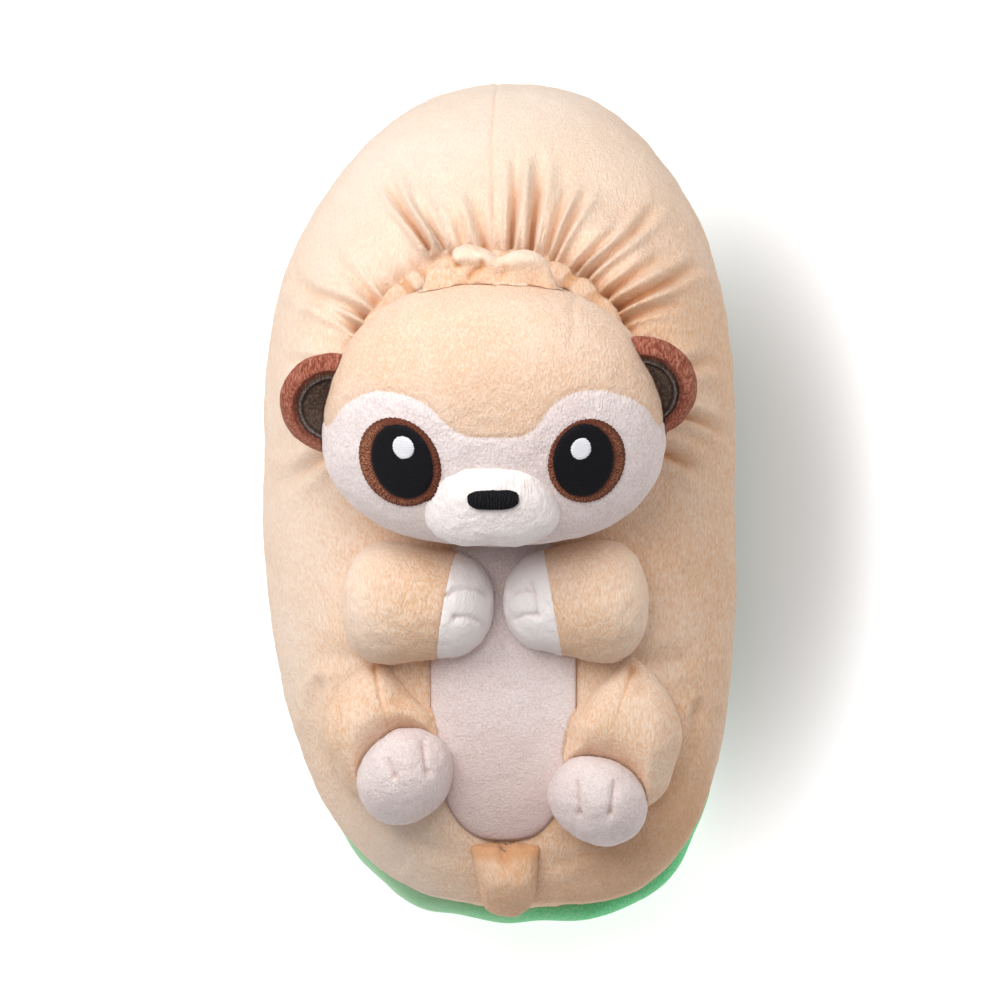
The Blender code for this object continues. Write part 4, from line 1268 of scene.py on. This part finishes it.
def drawn_out(unit):
    """Directions' shares of the way along a drawn-out ball, and their ways round it."""
    ring = unit[:, :2] / np.maximum(np.hypot(unit[:, 0], unit[:, 1]), 1e-9)[:, None]
    return (1 + unit[:, 2]) / 2, ring


def cut_sausage(start, end, radius, spot, way, pinch=0.00015, soft=0.0006):
    """A straight sausage sewn shut on a slanting plane, and drawn in a little there."""
    axis = end - start
    middle = start + axis * (((spot - start) @ way) / (axis @ way))
    across = np.cross(axis / np.linalg.norm(axis), (0, 0, 1))
    across /= np.linalg.norm(across)
    above = np.cross(across, axis / np.linalg.norm(axis))

    def place(unit):
        share, ring = drawn_out(unit)
        ring = ring[:, :1] * across + ring[:, 1:] * above
        points = start + axis * share[:, None] + ring * radius(share)[:, None]
        past = (points - spot) @ way
        points -= ring * (pinch * np.exp(-((past / soft) ** 2)))[:, None]
        at_cut = np.clip(share - past / (axis @ way), 0, 1)
        size = radius(at_cut) - pinch
        rim = start + axis * at_cut[:, None] + ring * size[:, None]
        rim -= (((rim - spot) @ way) / (axis @ way))[:, None] * axis
        left = (1 - share) / (1 - at_cut) if axis @ way > 0 else share / at_cut
        flat = middle + (rim - middle) * np.clip(left, 0, 1)[:, None] ** 0.7
        return np.where((past > 0)[:, None], flat, points)

    return place


def stitched(points, ways, lines, dents, depth=0.0010, width=0.0007):
    """How far stitched lines and the dents at their ends draw the top of a piece in."""
    pull = np.zeros(len(points))
    for line in lines:
        gap, _ = from_line(points[:, :2], smooth_line(line))
        pull = np.maximum(pull, depth * bell(gap, width)) + 0.25 * depth * bell(gap, 3 * width)
    for dent in dents:
        gap = np.linalg.norm(points[:, :2] - np.array(dent), axis=1)
        pull += 0.7 * depth * bell(gap, 1.6 * width)
    return pull * ramp(ways[:, 2] * 2)


arm_trees = []
for label, arm in ARMS.items():
    shoulder, hand, cuff = [
        vamp_place(arm[spot], ARM_ALONG, ARM_STAND) for spot in ("shoulder", "hand", "cuff")
    ]
    towards = (hand - shoulder).normalized()
    start = shoulder - towards * ARM_SHOULDER_RADIUS
    end = hand + towards * (ARM_HAND_RADIUS - HAND_SHORT)
    length = (end - start).length
    start, end = np.array(start), np.array(end)
    start[1] += ARM_UP
    end[1] += ARM_UP - arm["hand_drop"]
    seam = np.array(cuff) + (0, ARM_UP, 0)
    out = np.array((-arm["side"] * math.cos(CUFF_SLANT), -math.sin(CUFF_SLANT), 0))

    def arm_radius(share, length=length, hand_radius=arm["hand_radius"]):
        return ARM_PLUMP * rounded(share, ARM_SHOULDER_RADIUS, hand_radius, length)

    for part, way, material, slot in (
        ("arm", out, tan_plush, "plush_tan"), ("paw", -out, white_plush, "plush_pink"),
    ):
        form = cut_sausage(start, end, arm_radius, seam - way * SEAM_GAP, way)
        mesh = ball_mesh(f"{part}_{label}_plush", 6, form)
        points, ways = spots(mesh)
        from_seam = (seam - points) @ way
        shift = lumps(points, 91.0, (0.0008, 0.018), (0.0004, 0.005), (0.00022, 0.0021))
        # Painted shade: the paws darker in their stitched finger lines, the arms darker along the
        # cuff seam and towards it. Painted light: the arms paler away from the cuff, and the paws
        # paler all over, in part their own paler tone and in part light where the head shades
        # them
        if part == "paw":
            pull = stitched(points, ways, arm["fingers"], arm["dents"])
            shift -= pull
            hollow, faded = ramp(pull, 0.0013) ** 1.5 * 0.6, 0.75
        else:
            hollow = 0.15 * bell(from_seam, 0.0008) + 0.22 * ramp(1 - from_seam / 0.022)
            faded = 0.35 * ramp(from_seam - 0.012, 0.02)
        points += ways * (shift * ramp(from_seam, 0.001))[:, None]
        arm_trees.append(place_piece(
            mesh, material, slot, 0.85, f"{part}_{label}",
            points=settle(tuck(points, [head_tree, muzzle_tree])), hollow=hollow, faded=faded,
        ))

# ---- Legs and feet ----
# Bent stuffed legs with a seam along each thigh, drawn in hard at the hip, and round pale
# feet with two stitched toe lines.

HIP_RADIUS, KNEE_RADIUS, ANKLE_RADIUS, LEG_STAND = 0.0175, 0.0195, 0.0185, 0.0010
ANKLE_DROP, LEG_FLAT = 0.0020, 0.78
LEG_SOFT = 0.0010
FOOT_RADIUS, FOOT_DEEP, FOOT_STAND = 0.0175, 0.0145, 0.0098
LEGS = {
    "outer": {
        "hip": (-0.47, 0.425), "knee": (-0.53, 0.610), "foot": (-0.355, 0.716),
        "seam": ((-0.0405, -0.0665), (-0.0380, -0.0768), (-0.0356, -0.0862), (-0.0345, -0.0920)),
        "dimple": (-0.0320, -0.0800),
        "toes": (
            ((-0.0222, -0.0940), (-0.0216, -0.1000), (-0.0208, -0.1050)),
            ((-0.0344, -0.1011), (-0.0332, -0.1040), (-0.0319, -0.1070)),
        ),
        "dents": ((-0.0205, -0.1052), (-0.0322, -0.1072)),
    },
    "inner": {
        "hip": (0.575, 0.425), "knee": (0.600, 0.600), "foot": (0.439, 0.773),
        "seam": ((0.0478, -0.0675), (0.0450, -0.0768), (0.0424, -0.0861), (0.0405, -0.0960)),
        "dimple": (0.0500, -0.0745),
        "toes": (
            ((0.0296, -0.1086), (0.0299, -0.1135), (0.0303, -0.1190)),
            ((0.0424, -0.1086), (0.0418, -0.1140), (0.0411, -0.1190)),
        ),
        "dents": ((0.0304, -0.1192), (0.0410, -0.1192)),
    },
}
# How much lower than the foot's middle the leg lies where it meets the foot, how far it
# climbs from there, and over what gap
LEG_UNDER_FOOT, LEG_CLIMB, LEG_CLIMB_OVER = 0.0008, 0.013, 0.0042
# The shares of a leg that are drawn in at the hip and rounded off at the ankle
HIP_DRAWN, ANKLE_ROUND = 0.52, 0.30
foot_half = np.array((FOOT_RADIUS, FOOT_RADIUS, FOOT_DEEP))

for label, leg in LEGS.items():
    hip = vamp_place(*leg["hip"], LEG_STAND)
    knee = vamp_place(*leg["knee"], LEG_STAND)
    ankle = vamp_place(*leg["foot"], FOOT_STAND)
    turn = np.array((ankle - knee).to_track_quat("Z", "Y").to_matrix())

    def foot_place(unit, turn=turn, middle=np.array(ankle)):
        return (unit * foot_half) @ turn.T + middle

    foot_mesh = ball_mesh(f"foot_{label}_plush", 6, foot_place)
    points, ways = spots(foot_mesh)
    pull = stitched(points, ways, leg["toes"], leg["dents"], 0.0009, 0.0009)
    shift = lumps(points, 101.0, (0.0007, 0.013), (0.0003, 0.005), (0.00022, 0.0021)) - pull
    # Painted shade in the stitched toe lines
    foot_tree = place_piece(
        foot_mesh, pink_plush, "plush_pink", 0.85, "foot_" + label,
        points=settle(points + ways * shift[:, None]), hollow=ramp(pull, 0.0012) ** 1.6 * 0.65,
    )

    low_ankle = ankle - Vector((0, 0, FOOT_STAND + ANKLE_DROP))

    def leg_path(share, bones=[np.array(spot) for spot in (hip, knee, low_ankle)]):
        share = share[:, None]
        return lerp(lerp(bones[0], bones[1], share), lerp(bones[1], bones[2], share), share)

    def leg_place(unit, path=leg_path):
        """Round the path from hip to foot, drawn in at the hip and flatter at the foot."""
        share, ring = drawn_out(unit)
        size = lerp(HIP_RADIUS, KNEE_RADIUS, np.minimum(1, 2 * share))
        size = lerp(size, ANKLE_RADIUS, np.maximum(0, 2 * share - 1))
        size *= np.sin(math.pi / 2 * np.minimum(1, share / HIP_DRAWN)) ** 0.85
        size *= dome(np.maximum(0, 1 - (1 - share) / ANKLE_ROUND), 2)
        axis = path(np.minimum(1, share + 0.02)) - path(np.maximum(0, share - 0.02))
        axis /= np.linalg.norm(axis, axis=1)[:, None]
        side = np.cross(axis, (0.0, 0.0, 1.0))
        side /= np.linalg.norm(side, axis=1)[:, None]
        offset = side * ring[:, :1] + np.cross(axis, side) * ring[:, 1:]
        offset[:, 2] *= lerp(1, LEG_FLAT, share)
        return path(share) + offset * size[:, None]

    leg_mesh = ball_mesh(f"leg_{label}_plush", 6, leg_place)
    points, ways = spots(leg_mesh)
    plan, facing = points[:, :2], ramp(ways[:, 2] * 2)
    seam_gap, _ = from_line(plan, smooth_line(leg["seam"]))
    dimple = bell(np.linalg.norm(plan - np.array(leg["dimple"]), axis=1), 0.0045)
    pinch = bell(np.linalg.norm(plan - np.array(leg["seam"][0]), axis=1), 0.0030)
    shift = lumps(points, 111.0, (0.0009, 0.016), (0.0003, 0.006))
    shift -= facing * (0.0008 * bell(seam_gap, 0.0010) + 0.0015 * pinch + 0.0014 * dimple)
    points = tuck(points + ways * shift[:, None], arm_trees)
    for index, (x, y, z) in enumerate(points.tolist()):
        gap = foot_tree.find_nearest(Vector((x, y, ankle.z)))[3]
        over = ankle.z - LEG_UNDER_FOOT + LEG_CLIMB * (1 - math.exp(-gap / LEG_CLIMB_OVER))
        points[index, 2] = -LEG_SOFT * np.logaddexp(-z / LEG_SOFT, -over / LEG_SOFT)
    # Painted shade in the thigh seam, the drawn-in hip and the dimple, on the upward faces
    hollow = 0.50 * bell(seam_gap, 0.0006) + 0.7 * pinch + 0.45 * dimple
    resting.append(place_piece(
        leg_mesh, tan_plush, "plush_tan", 0.85, "leg_" + label,
        points=settle(tuck(points, [foot_tree])), hollow=hollow * facing,
    ))

# ---- Tail ----
# A short stuffed cone that hangs over the toe, sewn down under the belly panel with a
# tuck in the middle of its root.

TAIL_START, TAIL_END, TAIL_RISEN = 0.33, 0.02, 0.35
TAIL_FLAT, TAIL_FLAT_ROOT, TAIL_STAND, TAIL_STAND_ROOT = 0.66, 0.22, 0.22, -0.06
TAIL_ROOT_RADIUS, TAIL_TIP_RADIUS = 0.0118, 0.0074
TAIL_TUCK = (
    (ANIMAL_SIDE, -0.1270), (ANIMAL_SIDE + 0.0004, -0.1310), (ANIMAL_SIDE + 0.001, -0.1360)
)


def tail_place(unit):
    """Round a line down the toe, squeezed flat at the root where it is sewn on."""
    share, ring = drawn_out(unit)
    rise = lerp(TAIL_START, TAIL_END, share)
    turn = np.full(len(share), -math.pi / 2)
    line = outer_skin.point(turn, rise)
    step = outer_skin.point(turn, rise + 0.01) - line
    out = np.stack((0 * share, -step[:, 2], step[:, 1]), 1)
    out /= np.linalg.norm(out, axis=1)[:, None]
    line[:, 0] = ANIMAL_SIDE + 0.0012 * np.sin(share * 3)
    start, end = np.minimum(1, share / 0.06), np.minimum(1, (1 - share) / 0.26)
    radius = lerp(TAIL_ROOT_RADIUS, TAIL_TIP_RADIUS, share)
    size = radius * (1 - (1 - start) ** 4) ** 0.25 * dome(1 - end, 2)
    risen = np.sin(np.minimum(1, share / TAIL_RISEN) * math.pi / 2)
    stand = radius * lerp(TAIL_STAND_ROOT, TAIL_STAND, risen) + GAP
    tall = size * lerp(TAIL_FLAT_ROOT, TAIL_FLAT, risen)
    line[:, 0] += size * power(ring[:, 0], 0.9)
    return line + out * (stand + tall * ring[:, 1])[:, None]


tail_mesh = ball_mesh("tail_plush", 6, tail_place)
points, ways = spots(tail_mesh)
dent = fold(points[:, :2], TAIL_TUCK, 0.0024, 0.0020, 1.0, 0.25)
shift = dent + lumps(points, 121.0, (0.0007, 0.011), (0.0003, 0.004))
# Painted shade: the tail is darker all over, and more at its root under the belly panel and in
# its tuck
root = ramp(1 - (-0.1275 - points[:, 1]) / 0.006)
place_piece(
    tail_mesh, tan_plush, "plush_tan", 0.7, "tail",
    points=settle(points + ways * shift[:, None]),
    hollow=ramp(-dent, 0.0022) * 0.9 + 0.8 * root + 0.42,
)
